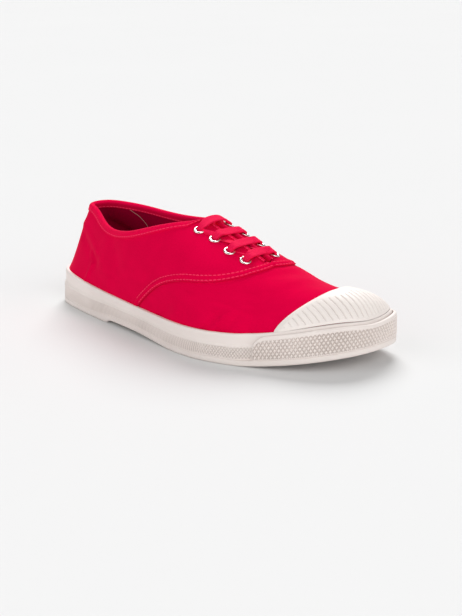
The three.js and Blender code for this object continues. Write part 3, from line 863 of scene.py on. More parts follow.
FOLD_STRENGTH = 1.5
FOLDS = (
    Fold((-109, -10, 55), (-81, -23.5, 42), 3.0, 0.55),
    Fold((-104, -18, 47), (-80, -27, 36), 4.5, -0.7),
    Fold((-90, -22, 40), (-84, -25, 34), 1.6, 0.45),
    Fold((-84, -25, 34), (-87, -26, 27), 1.6, 0.45),
    Fold((-87, -26, 27), (-92, -27, 19), 1.6, 0.45),
    Fold((-62, -25, 52), (-50, -30, 40), 6.0, -0.45),
    Fold((-74, -26, 38), (-60, -31, 29), 6.0, 0.4),
    Fold((44, -43, 16), (53, -41, 27), 2.6, -0.7),
    Fold((49, -43, 17), (60, -38, 29), 2.6, 0.6),
    Fold((54, -42, 18), (66, -36, 28), 3.0, -0.55),
    Fold((0, -41, 16), (12, -42, 24), 3.5, -0.45),
    Fold((6, -42, 17), (22, -43, 24), 4.0, 0.4),
    Fold((66, -12, 50), (70, 10, 50), 4.0, -0.45),
    Fold((76, -14, 46), (79, 14, 47), 4.5, 0.4),
    Fold((40, 38, 20), (52, 39, 32), 3.0, -0.6),
    Fold((48, 40, 20), (62, 38, 31), 3.2, 0.5),
    Fold((-111, 10, 55), (-84, 23, 42), 3.5, 0.6),
    Fold((-30, 24, 30), (0, 27, 38), 7.0, -0.5),
)


def creases(points: Array) -> Array:
    """How far all folds together move the cloth out at each point."""
    return sum(fold.lift(points) for fold in FOLDS)


# ------------------------------------------------------------------ the upper


@dataclass
class Upper:
    """The sewn canvas: lining shell, vamp, quarters with their folded edge, and binding."""

    shell_out: float = -0.75
    shell_in: float = -1.6
    vamp_out: float = -0.25
    quarter_out: float = 0.3
    ply: float = 0.9
    hem_width: float = 4.8
    hem_rise: float = 0.36
    hem_rows: tuple[float, float] = (0.95, 4.1)
    binding_width: float = 5.2
    throat_width: float = 0.5
    trim: float = 0.016
    tuck_under: float = 0.16
    eyelet_hole: float = 2.5
    punch_depth: float = 9
    vamp_ply: float = 0.45
    vamp_dip: float = 0.35
    groove_width: float = 0.42
    groove_depth: float = 0.42
    hem_plump: float = 0.28
    skirt_gap: float = 0.4
    skirt_parts: tuple[float, ...] = (0, 0.35, 0.7)
    corner_window: int = 35
    stitch: Bead = Bead()
    edge_lines: list[tuple[Array, Array]] = field(default_factory=list)
    seam: tuple[tuple[float, float], ...] = (
        (4.33, -0.02), (4.63, 0.075), (5.02, 0.19), (5.5, 0.292), (5.92, 0.372), (6.24, 0.47),
        (6.50, 0.615), (6.67, 0.782), (6.75, 0.9), (6.78, 1.0),
    )

    def even_end(self, q: Array) -> Array:
        """Where the canvas ends, evened out over the corner between collar and throat."""
        places = np.arange(0, LOOP, 0.02)
        ends = LAST.canvas_end(places)
        reach = self.corner_window
        window = np.hanning(2 * reach + 1)
        wrapped = np.concatenate([ends[-reach:], ends, ends[:reach]])
        level = np.convolve(wrapped, window / window.sum(), "valid")
        return np.interp(q, places, level, period=LOOP)

    def up_cloth(self, q: Array, part: Array, end: Array) -> Array:
        """The u at parts of the cloth's height: evenly spread below, along the edge at the top.

        Args:
            q: loop places.
            part: parts of the height, 0 to 1.
            end: where the cloth ends at q.

        Returns:
            The u at each.
        """
        even = self.even_end(q)
        return part * even + (end - even) * part**3

    def seam_row(self, part: Array) -> Array:
        """Row where the quarter's front edge crosses a part of the canvas's height."""
        line = smooth_line(self.seam, 400)
        end, even = LAST.canvas_end(line[:, 0]), self.even_end(line[:, 0])
        parts = line[:, 1] / even
        for _ in range(12):
            parts = (line[:, 1] - (end - even) * np.clip(parts, 0, 1) ** 3) / even
        return np.interp(part, parts, line[:, 0])

    def ply_end(self, q: Array) -> Array:
        """Where the plies end, hidden inside the binding along the collar and the throat."""
        return LAST.canvas_end(q) - self.trim * (LAST.row(q) < LAST.throat_end - 0.05)

    def shell(self) -> bpy.types.Object:
        """The inner ply, once round the shoe, its inner face the lining."""
        q = np.linspace(0, LOOP, 321)
        end = self.ply_end(q)
        b = np.linspace(0, 1, 41)[:, None]
        u = self.up_cloth(q, b, end)
        qq = np.broadcast_to(q, u.shape)
        points = LAST.form(qq, u, np.full(u.shape, self.shell_out))
        points = points + LAST.normal(qq, u) * creases(points)[..., None]
        base = LAST.lift(LAST.value("x", q)) + LAST.value("core", q) + self.skirt_gap
        x, y = LAST.outline(q, LAST.foot(q) - self.shell_out)
        rise = points[0, :, 2] - base
        skirt = [np.stack([x, y, base + part * rise], -1) for part in self.skirt_parts]
        sheet = lay_sheet("lining", np.concatenate([np.stack(skirt), points]))
        weld(sheet, 0.01)
        modify(sheet, "SOLIDIFY", thickness=(self.shell_out - self.shell_in) * MM, offset=-1)
        return sheet

    def hem(self, points: Array, edge: Array) -> Array:
        """How far the quarter's folded front edge stands out at each point."""
        gap = distance_to(points, edge)
        band = smooth(self.hem_width + 0.5, self.hem_width - 0.4, gap)
        rows = [np.exp(-(((gap - row) / self.groove_width) ** 2)) for row in self.hem_rows]
        plump = np.exp(-(((gap - sum(self.hem_rows) / 2) / 1.1) ** 2))
        rounded = smooth(0, 0.6, gap)
        fold = self.hem_rise * band * (0.4 + 0.6 * rounded)
        return fold + self.hem_plump * plump - self.groove_depth * sum(rows)

    def quarters(self) -> bpy.types.Object:
        """Both quarters as one piece round the heel, over the vamp at the front."""
        half = np.concatenate([np.linspace(0, 0.95, 130), np.linspace(0.95, 1, 34)[1:]])
        a = np.concatenate([-half[:0:-1], half])
        b = np.concatenate([np.linspace(0, 0.88, 42), np.linspace(0.88, 1, 18)[1:]])
        q = a[None, :] * self.seam_row(b)[:, None]
        u = self.up_cloth(q, b[:, None], self.ply_end(q))
        points = LAST.form(q, u, np.full(u.shape, self.quarter_out))
        fronts = (points[:, 0], points[:, -1])
        edges = np.concatenate([
            along_line(side, np.linspace(0, line_length(side), 500)) for side in fronts
        ])
        raised = self.hem(points, edges) + creases(points)
        points = points + LAST.normal(q, u) * raised[..., None]
        sheet = lay_sheet("quarters", points)
        self.edge_lines = [(q[:, 0], u[:, 0]), (q[:, -1], u[:, -1])]
        weld(sheet, 0.01)
        modify(sheet, "SOLIDIFY", thickness=self.ply * MM, offset=-1)
        return sheet

    def vamp(self) -> bpy.types.Object:
        """The front of the upper, from under the quarters to under the toe cap."""
        b = np.linspace(0, 1, 61)
        back = self.seam_row(b) - self.tuck_under
        a = np.linspace(0, 1, 241)
        q = back[:, None] + (LOOP - 2 * back)[:, None] * a[None, :]
        u = self.up_cloth(q, b[:, None], LAST.canvas_end(q))
        points = LAST.form(q, u, np.full(u.shape, self.vamp_out))
        under = 1 - smooth(0.0, 0.14, LAST.row(q) - self.seam_row(b)[:, None])
        raised = creases(points) - self.vamp_dip * under
        points = points + LAST.normal(q, u) * raised[..., None]
        sheet = lay_sheet("vamp", points)
        weld(sheet, 0.01)
        modify(sheet, "SOLIDIFY", thickness=self.vamp_ply * MM, offset=-1)
        return sheet

    def binding_frame(self, q: Array) -> tuple[Array, Array]:
        """The opening's edge at q with the direction down the cloth."""
        end = LAST.canvas_end(q)
        edge = LAST.rib(q, end)
        down = unit(LAST.rib(q, end - 0.03) - edge)
        run = unit(np.gradient(edge, axis=0))
        lean = np.linalg.norm(np.cross(run, down), axis=-1, keepdims=True)
        return edge, down / np.maximum(lean, 0.45)

    def collar_places(self, count: int) -> Array:
        """Loop places along the opening, from the slit's end round the heel and back to it."""
        reach = LAST.throat_end - 0.07
        return np.linspace(-reach, reach, count)

    def width_at(self, q: Array) -> Array:
        """The binding's width at q, as a part of its width round the collar."""
        turn = smooth(LAST.throat_top - 0.16, LAST.throat_top + 0.02, LAST.row(q))
        return 1 - (1 - self.throat_width) * turn

    def over_edge(self, q: Array, profile: Sequence[tuple[float, float]]) -> Array:
        """Points of a strip along the opening's edge.

        Args:
            q: loop places along the opening.
            profile: distances down the cloth and out of it, in millimetres.

        Returns:
            Profile by places of points.
        """
        edge, down = self.binding_frame(q)
        end = LAST.canvas_end(q)
        share = self.width_at(q)
        reach = np.linalg.norm(LAST.rib(q, end - 0.06) - edge, axis=-1)
        rows = []
        for drop, height in profile:
            part = end - 0.06 * drop * share * np.linalg.norm(down, axis=-1) / reach
            base = LAST.rib(q, part)
            lifted = creases(base)[:, None]
            rows.append(base + LAST.normal(q, part) * (height + lifted))
        return np.stack(rows)

    def binding(self) -> bpy.types.Object:
        """Tape folded over the opening's edge, slightly plump."""
        w = self.binding_width
        profile = [
            (w, 0.3), (w, 0.85), (w - 0.35, 1.12), (w - 1.0, 0.85), (w - 1.7, 1.15), (w / 2, 1.3),
            (1.7, 1.3), (0.9, 1.1), (0.35, 0.7), (0.08, 0.0), (0.0, -0.7), (0.08, -1.3),
            (0.35, -1.8), (0.9, -2.05), (1.7, -2.1), (w / 2, -2.1), (w - 1.0, -1.9), (w - 0.4, -2.0),
            (w, -1.9), (w, -1.6),
        ]
        q = self.collar_places(700)
        points = self.over_edge(q, profile)
        pucker = 0.12 * np.sin(LAST.arc(np.abs(q)) * 2 * math.pi / self.stitch.pitch)
        points[5:8] += (points[5:8] - points[13:16][::-1]) * pucker[None, :, None] * 0.2
        sheet = lay_sheet("binding", points[::-1][:, ::-1])
        with editing(sheet):
            turn_out()
        return sheet

    def stitches(self) -> list[bpy.types.Object]:
        """Stitch rows beside the quarters' front edge and along the binding."""
        made = []
        for side, (q, u) in enumerate(self.edge_lines):
            for order, back in enumerate(self.hem_rows):
                keep = slice(2, -2)
                edge = LAST.rib(q, u)[keep]
                run = unit(np.gradient(edge, axis=0))
                out = LAST.normal(q, u)[keep]
                into = np.cross(out, run)
                target = edge + into * back * (-1 if into[0, 0] > 0 else 1)
                sq, su = LAST.walk(q[keep], u[keep], target)
                fine = (su > 0.02) & (su < 0.995)
                points = LAST.rib(sq[fine], su[fine])
                out = LAST.normal(sq[fine], su[fine])
                lift = self.quarter_out + self.hem_rise - 0.18 + creases(points)
                name = f"seam_stitches_{'inner' if side == 0 else 'outer'}_{order + 1}"
                made.append(stitch_row(name, points + out * lift[:, None], out, self.stitch))
        q = self.collar_places(900)
        for name, height in (("binding_stitches_outside", 0.98), ("binding_stitches_inside", -2.0)):
            line = self.over_edge(q, [(self.binding_width - 1.0, height)])[0]
            out = LAST.normal(q, LAST.canvas_end(q) - 0.03) * math.copysign(1, height)
            made.append(stitch_row(name, line, out, self.stitch))
        return made

    def punch(self, pieces: Sequence[bpy.types.Object], places: Sequence[Matrix]) -> None:
        """Cuts the eyelets' holes through the plies."""
        deselect()
        cutters = []
        for place in places:
            bpy.ops.mesh.primitive_cylinder_add(vertices=28, radius=self.eyelet_hole * MM,
                                                depth=self.punch_depth * MM)
            cutter = bpy.context.object
            cutter.data.transform(place)
            cutters.append(cutter)
        tool = join("hole_cutter", cutters)
        for piece in pieces:
            modify(piece, "BOOLEAN", object=tool, operation="DIFFERENCE", solver="EXACT")
        bpy.data.objects.remove(tool)

    def lining_seams(self) -> list[bpy.types.Object]:
        """The pale overlock thread down each side of the lining, behind the ankle."""
        made = []
        route = [(17.72, 0.57), (17.5, 0.52), (17.3, 0.47), (17.08, 0.372), (17.0, 0.22), (17.0, 0.05)]
        line = smooth_line(route, 60)
        for name, q, top in (("inner", line[:, 0], 1.0), ("outer", LOOP - line[:, 0], 0.4)):
            q, u = q[line[:, 1] < top], line[line[:, 1] < top, 1]
            out = LAST.normal(q, u)
            points = LAST.rib(q, u) + out * (self.shell_in - 0.1 + creases(LAST.rib(q, u)))[:, None]
            bead = Bead(pitch=1.1, length=1.3, radius=0.3)
            made.append(stitch_row(f"lining_thread_{name}", points, -out, bead))
        return made

    def build(self, eyelets: Sequence[Matrix]) -> None:
        """Makes and dresses the upper's pieces."""
        shell, vamp, quarters = self.shell(), self.vamp(), self.quarters()
        self.punch([shell, quarters], eyelets)
        shade(shell)
        shade(vamp)
        shade(quarters, 50)
        dress(shell, LINING)
        dress(vamp, CANVAS)
        dress(quarters, CANVAS, ["upper"])
        binding = self.binding()
        shade(binding, 60)
        dress(binding, BINDING)
        for row in self.stitches():
            dress(row, THREAD)
        for row in self.lining_seams():
            dress(row, PALE_THREAD)


def distance_to(points: Array, line: Array) -> Array:
    """Distance of each point to the nearest point of a line, worked out in slices."""
    flat = points.reshape(-1, 3)
    out = np.empty(len(flat))
    for start in range(0, len(flat), 4000):
        part = flat[start : start + 4000]
        out[start : start + 4000] = np.linalg.norm(part[:, None] - line[None], axis=-1).min(1)
    return out.reshape(points.shape[:-1])


@dataclass
class Tongue:
    """The canvas tongue under the facings."""

    top_x: float = 4
    end_x: float = 66
    half: float = 19
    taper: float = 4
    depth: float = 3.0
    thick: float = 1.3
    corner_drop: float = 0.18
    ripple: float = 0.35
    ripple_rate: float = 17

    def build(self) -> None:
        """Makes and dresses the tongue."""
        first, last = LAST.row_of_spine(self.top_x), LAST.row_of_spine(self.end_x)
        t = np.linspace(0, 1, 70)[:, None]
        k = np.linspace(-1, 1, 41)[None, :]
        reach = (self.half - self.taper * t) * np.abs(k)
        row = first + (last - first) * t + self.corner_drop * (1 - t) ** 6 * np.abs(k) ** 3
        q = np.where(k <= 0, row, LOOP - row)
        near = LAST.beside_ridge(q, reach)
        u = np.where(np.abs(k) < 1e-6, 1.0, near)
        soft = self.ripple * np.sin(t * self.ripple_rate + 1.0) * (1 - k**2)
        points = LAST.form(q, u, -self.depth + soft)
        sheet = lay_sheet("tongue_cloth", points[:, ::-1][::-1])
        modify(sheet, "SOLIDIFY", thickness=self.thick * MM, offset=-1)
        shade(sheet)
        dress(sheet, CANVAS, ["tongue"])


# ------------------------------------------------------------------ the rubber


@dataclass
class Sole:
    """Outsole with tread, and the rubber wall with its ribbed band."""

    wall_back: float = 0.7
    strip_skin: float = 1.5
    strip_proud: float = 0.7
    gap: float = 0.3
    band_part: float = 0.52
    rib_pitch: float = 1.75
    rib_depth: float = 0.6
    rib_lean: float = 0.35
    mesh_pitch: float = 2.0
    mesh_from: float = 5.9
    mesh_to: float = 6.35
    chamfer: float = 0.9
    breast_x: float = -58
    tread_pitch: float = 6.5
    tread_depth: float = 1.0
    seat: float = 0.02
    flare: float = 0.45

    def back(self, q: Array) -> Array:
        """How far the wall's face stands inside the outline."""
        return self.wall_back + (self.strip_skin + self.gap - self.strip_proud) * LAST.behind_strip(q)

    def pattern(self, arc: Array, z: Array, row: Array) -> Array:
        """Height of the band's ribs, which turn into a mesh of lozenges towards the toe."""
        rib = (arc + self.rib_lean * z) / self.rib_pitch
        ribs = smooth(0.35, 0.8, np.abs(((rib % 1) - 0.5) * 2))
        one = np.abs((((arc + 0.8 * z) / self.mesh_pitch) % 1) - 0.5) * 2
        two = np.abs((((arc - 0.8 * z) / self.mesh_pitch) % 1) - 0.5) * 2
        lozenges = smooth(0.12, 0.5, 1 - np.maximum(one, two))
        turn = smooth(self.mesh_from, self.mesh_to, row)
        return (ribs * (1 - turn) + lozenges * turn) * smooth(0.15, 0.9, row)

    def wall(self) -> bpy.types.Object:
        """The rubber wall, from the outsole's edge to its rolled top edge."""
        total = float(LAST.arc(np.array(LOOP)))
        count = int(total / (self.rib_pitch / 5))
        arc = np.arange(count + 1) * total / count
        band = np.linspace(0, self.band_part, 19)
        rows: list[tuple[float, float, float]] = [(0.0, 2.6, 0.0), (0.0, 0.06, 0.0)]
        rows += [(float(p), 0.0, 1.0) for p in band[1:]]
        above_band = ((0.012, 0.15), (0.03, 0.55), (0.06, 0.78))
        rows += [(self.band_part + part, step, 0.0) for part, step in above_band]
        rim = ((0.7, 0.82), (0.82, 0.86), (0.92, 0.95), (0.965, 1.1), (0.99, 1.4), (1.0, 1.85), (0.995, 2.2))
        rows += [(part, step, 0.0) for part, step in rim]
        points = []
        hollows = []
        q = LAST.place_at_arc(arc)
        low = LAST.edge_top(q) + self.seat
        top = LAST.value("wall_top", q)
        for part, step, ribbed in rows:
            z = low + part * (top - low)
            margin = smooth(0.02, 0.08, np.array(part)) * (1 - smooth(0.46, 0.5, np.array(part)))
            height = self.pattern(arc, z - low, LAST.row(q))
            relief = self.rib_depth * ribbed * margin * height
            # Painted shade: the recesses between the band's ribs and lozenges are marked for darkening.
            hollows.append(ribbed * margin * (1 - height))
            flare = -self.flare * (1 - smooth(0.0, 0.3, np.array(part)))
            face = self.back(q) + step + flare * (1 - LAST.behind_strip(q))
            x, y = LAST.outline(q, face - relief + 0.3 * ribbed * margin)
            points.append(np.stack([x, y, z], -1))
        x, y = LAST.outline(q, LAST.foot(q) + 0.12)
        for part in (0.985, 0.0):
            points.append(np.stack([x, y, low + part * (top - low)], -1))
        points.append(points[0])
        sheet = lay_sheet("wall", np.stack(points))
        empty = np.zeros_like(hollows[0])
        set_cavity_shade(sheet, np.stack([*hollows, empty, empty, empty]))
        weld(sheet, 0.002, recalculate=True)
        return sheet

    def under(self, x: Array) -> Array:
        """Height of the sole's underside: the heel block, a soft breast, then the waist and ball."""
        step = smooth(self.breast_x - 1.5, self.breast_x + 4.5, x)
        return LAST.lift(x) * step

    def tread(self, x: Array, y: Array, inside: Array) -> Array:
        """How deep the zigzag tread is cut into the underside."""
        zigzag = np.abs(((y / 11.0) % 1) - 0.5) * 6.0
        wave = np.abs((((x + zigzag) / self.tread_pitch) % 1) - 0.5) * 2
        return self.tread_depth * smooth(0.62, 0.78, wave) * smooth(4.0, 5.0, inside)

    def outsole(self) -> bpy.types.Object:
        """Outsole: tread, upright edge, ledge under the wall and raised core."""
        side = np.linspace(0, TOE, 401)
        q = np.concatenate([side, LOOP - side[-2::-1]])
        x0 = LAST.value("x", q)
        low = self.under(x0)
        top = LAST.edge_top(q)
        core_in = LAST.foot_inset + LAST.toe_inset + self.gap
        core_top = LAST.lift(x0) + LAST.value("core", q)
        rows = []
        profile = [(self.chamfer + 0.3, low), (self.chamfer, low), (0.25, low + 0.35), (0.0, low + 0.95),
                   (-0.05, (low + top) / 2), (0.0, top - 0.5), (0.03, top - 0.04), (0.5, top),
                   (core_in, top), (core_in, core_top)]
        for inset, z in profile:
            x, y = LAST.outline(q, np.full(q.shape, inset))
            rows.append(np.stack([x, y, z], -1))
        ring = lay_sheet("outsole_edge", np.stack(rows))
        station = LAST.value("x", side)[:, None]
        x, y, inside = self.across(side, self.chamfer + 0.3, 121)
        z = self.under(station + 0 * x) + self.tread(x, y, inside)
        bottom = lay_sheet("outsole_bottom", np.stack([x, y, z], -1)[:, ::-1])
        x, y, _ = self.across(side, core_in, 31)
        z = LAST.lift(station + 0 * x) + LAST.value("core", side)[:, None]
        top_plate = lay_sheet("outsole_top", np.stack([x, y, z], -1))
        sole = join("outsole_rubber", [ring, bottom, top_plate])
        weld(sole, 0.004, recalculate=True)
        return sole

    @staticmethod
    def across(side: Array, inset: float, columns: int) -> tuple[Array, Array, Array]:
        """A grid from the outline's outer side to its inner side.

        Args:
            side: loop places of the outer side, heel to toe.
            inset: how far inside the outline the grid's edge lies.
            columns: how many points lie across.

        Returns:
            x, y and the distance inside the edge at each point.
        """
        part = np.linspace(0, 1, columns)[None, :]
        lx, ly = LAST.outline(side, np.full(side.shape, inset))
        mx, my = LAST.outline(LOOP - side, np.full(side.shape, inset))
        x = lx[:, None] + (mx - lx)[:, None] * part
        y = ly[:, None] + (my - ly)[:, None] * part
        return x, y, np.minimum(np.abs(y - ly[:, None]), np.abs(my[:, None] - y))

    def build(self) -> None:
        """Makes and dresses outsole and wall."""
        sole = self.outsole()
        shade(sole, 45)
        dress(sole, RUBBER, ["outsole"])
        wall = self.wall()
        shade(wall, 60)
        dress(wall, RUBBER, ["foxing"])


@dataclass
class ToeStrip:
    """The thicker strip round the toe, with raised lozenges."""

    skin: float = 1.5
    drop: float = 1.6
    pitch: float = 2.5
    row_step: float = 1.9
    depth: float = 0.85
    rim: float = 2.6
    foot: float = 1.0

    def build(self, sole: Sole) -> None:
        """Makes and dresses the strip.

        Args:
            sole: the sole it is laid on.
        """
        start, stop = LAST.arc(np.array([LAST.strip_from, LOOP - LAST.strip_from]))
        count = int((stop - start) / (self.pitch / 11))
        arc = np.linspace(start, stop, count + 1)
        q = LAST.place_at_arc(arc)
        end = np.minimum(arc - start, stop - arc) / 9.0
        tall = 0.35 + 0.65 * np.sqrt(1 - (1 - np.clip(end, 0, 1)) ** 2)
        thin = smooth(-0.02, 0.16, end)
        low = LAST.edge_top(q) + sole.seat
        high = low + (LAST.value("wall_top", q) - self.drop - low) * tall
        back = sole.back(q) - 0.1
        face = sole.back(q) - sole.gap - self.skin * thin
        points = []
        hollows = []
        rim = [0.95, 0.97, 0.985, 0.995, 1.0]
        levels = np.concatenate([[0.0, 0.01, 0.03], np.linspace(0.05, 0.93, 84), rim])
        for part in levels:
            z = low + part * (high - low)
            above, below = high - z, z - low
            panel = smooth(self.rim - 0.7, self.rim, above)
            panel = panel * smooth(self.foot - 0.6, self.foot, below) * thin
            lozenge = self.lozenges(arc, below) * panel
            # Painted shade: the recesses between the lozenges are marked for darkening.
            hollows.append(panel - lozenge)
            round_top = 1.0 - np.sqrt(np.clip(1 - (1 - np.clip(above / 1.1, 0, 1)) ** 2, 0, 1))
            round_low = 0.25 * (1 - smooth(0, 0.5, below))
            relief = self.depth * (0.55 * panel - lozenge)
            inset = face + round_top * 1.1 * thin + round_low + relief + 0.1
            x, y = LAST.outline(q, np.minimum(inset, back))
            points.append(np.stack([x, y, z], -1))
        for z in (high, low):
            x, y = LAST.outline(q, back + 0.25)
            points.append(np.stack([x, y, z], -1))
        points.append(points[0])
        sheet = lay_sheet("toe_strip", np.stack(points))
        empty = np.zeros_like(arc)
        set_cavity_shade(sheet, np.stack([*hollows, empty, empty, empty]))
        weld(sheet, 0.002)
        close_ends(sheet)
        shade(sheet, 60)
        dress(sheet, RUBBER, ["toe_bumper"])

    def lozenges(self, arc: Array, z: Array) -> Array:
        """Height of the upright lozenges, in rows set off by half their width."""
        a = arc / self.pitch
        b = z / (2 * self.row_step)
        first = np.abs((a % 1) - 0.5) * 2 + np.abs((b % 1) - 0.5) * 2
        second = np.abs(((a + 0.5) % 1) - 0.5) * 2 + np.abs(((b + 0.5) % 1) - 0.5) * 2
        height = 1 - np.minimum(first, second)
        return smooth(0.05, 0.7, height)


@dataclass
class ToeCap:
    """The moulded cap over the toes: a plain rim, then fine lengthwise grooves."""

    side_x: float = 86
    middle_x: float = 101
    half_width: float = 36
    skin: float = 2.1
    edge_skin: float = 0.9
    under: float = 0.1
    groove_pitch: float = 3.3
    groove_crowd: float = 0.12
    middle_y: float = 9
    rim_swell: float = 6.5
    groove_width: float = 0.34
    groove_depth: float = 0.5
    rim: float = 3.0
    foot: float = 1.2

    def edge_x(self, y: Array) -> Array:
        """x of the cap's edge at y."""
        part = np.minimum(np.abs(y - LAST.axis_y - LAST.spine_swing) / self.half_width, 1.2)
        return self.middle_x - (self.middle_x - self.side_x) * part * part

    def build(self) -> None:
        """Makes and dresses the cap."""
        coarse = np.arange(7, LOOP - 7, 0.01)
        bottom = self.low(coarse)
        top = self.high(coarse)
        covered = coarse[top > bottom + 0.012]
        q = np.linspace(covered[0], covered[-1], 560)
        low, high = self.low(q), self.high(q)
        t = np.linspace(0, 1, 84)[:, None]
        u = low + (high - low) * t
        qq = np.broadcast_to(q, u.shape)
        base = LAST.rib(qq, u)
        gap = base[..., 0] - self.edge_x(base[..., 1])
        lower = t * np.linalg.norm(base[-1] - base[0], axis=-1)
        out = self.edge_skin + (self.skin - self.edge_skin) * smooth(0, 3.0, gap)
        out = out - 0.4 * (1 - smooth(0, 0.8, gap))
        out = self.under + (out - self.under) * (0.8 + 0.2 * smooth(0, 1.5, lower))
        cut = self.grooves(base, gap) * smooth(self.foot, self.foot + 1, lower)
        outer = base + LAST.normal(qq, u) * (out - self.groove_depth * cut)[..., None]
        back = u[::-4]
        inner = LAST.form(np.broadcast_to(q, back.shape), back, np.full(back.shape, self.under))
        sheet = lay_sheet("cap", np.concatenate([outer, inner, outer[:1]]))
        plain_rows = np.zeros((len(inner) + 1, len(q)))
        # Painted shade: the grooves are marked for darkening, a little less than fully.
        set_cavity_shade(sheet, np.concatenate([0.8 * cut, plain_rows]))
        weld(sheet, 0.002)
        close_ends(sheet)
        shade(sheet, 60)
        dress(sheet, CAP_RUBBER, ["toe_cap"])

    def low(self, q: Array) -> Array:
        """The u where the cap's foot stands behind the wall's top edge."""
        wall = LAST.value("wall_top", q)
        return LAST.part_where(q, lambda p: p[..., 2] > wall - 0.6)

    def high(self, q: Array) -> Array:
        """The u of the cap's rear edge."""
        return LAST.part_where(q, lambda p: p[..., 0] < self.edge_x(p[..., 1]))

    def grooves(self, base: Array, gap: Array) -> Array:
        """Depth of the lengthwise grooves, 0 to 1, closer together towards the sides.

        Args:
            base: points of the cap.
            gap: their distances in x from its rear edge.

        Returns:
            The depth at each point.
        """
        aside = base[..., 1] - self.middle_y
        place = aside / self.groove_pitch * (1 + self.groove_crowd * (aside / 25) ** 2)
        off = np.abs(place - np.round(place)) * self.groove_pitch
        run = np.gradient(base, axis=1)
        slope = np.abs(run[..., 1]) / np.linalg.norm(run, axis=-1)
        cut = np.exp(-((off / np.maximum(slope, 0.3) / self.groove_width) ** 2))
        plain_rim = self.rim + self.rim_swell * np.exp(-((aside / 12) ** 2))
        return cut * smooth(plain_rim - 0.6, plain_rim + 0.4, gap)


# ------------------------------------------------------------------ eyelets and lace


class EyeletRow(NamedTuple):
    """One row of eyelets, in millimetres: x of the ridge beside each, and its distance from it."""

    outer_x: float
    inner_x: float
    outer: float
    inner: float


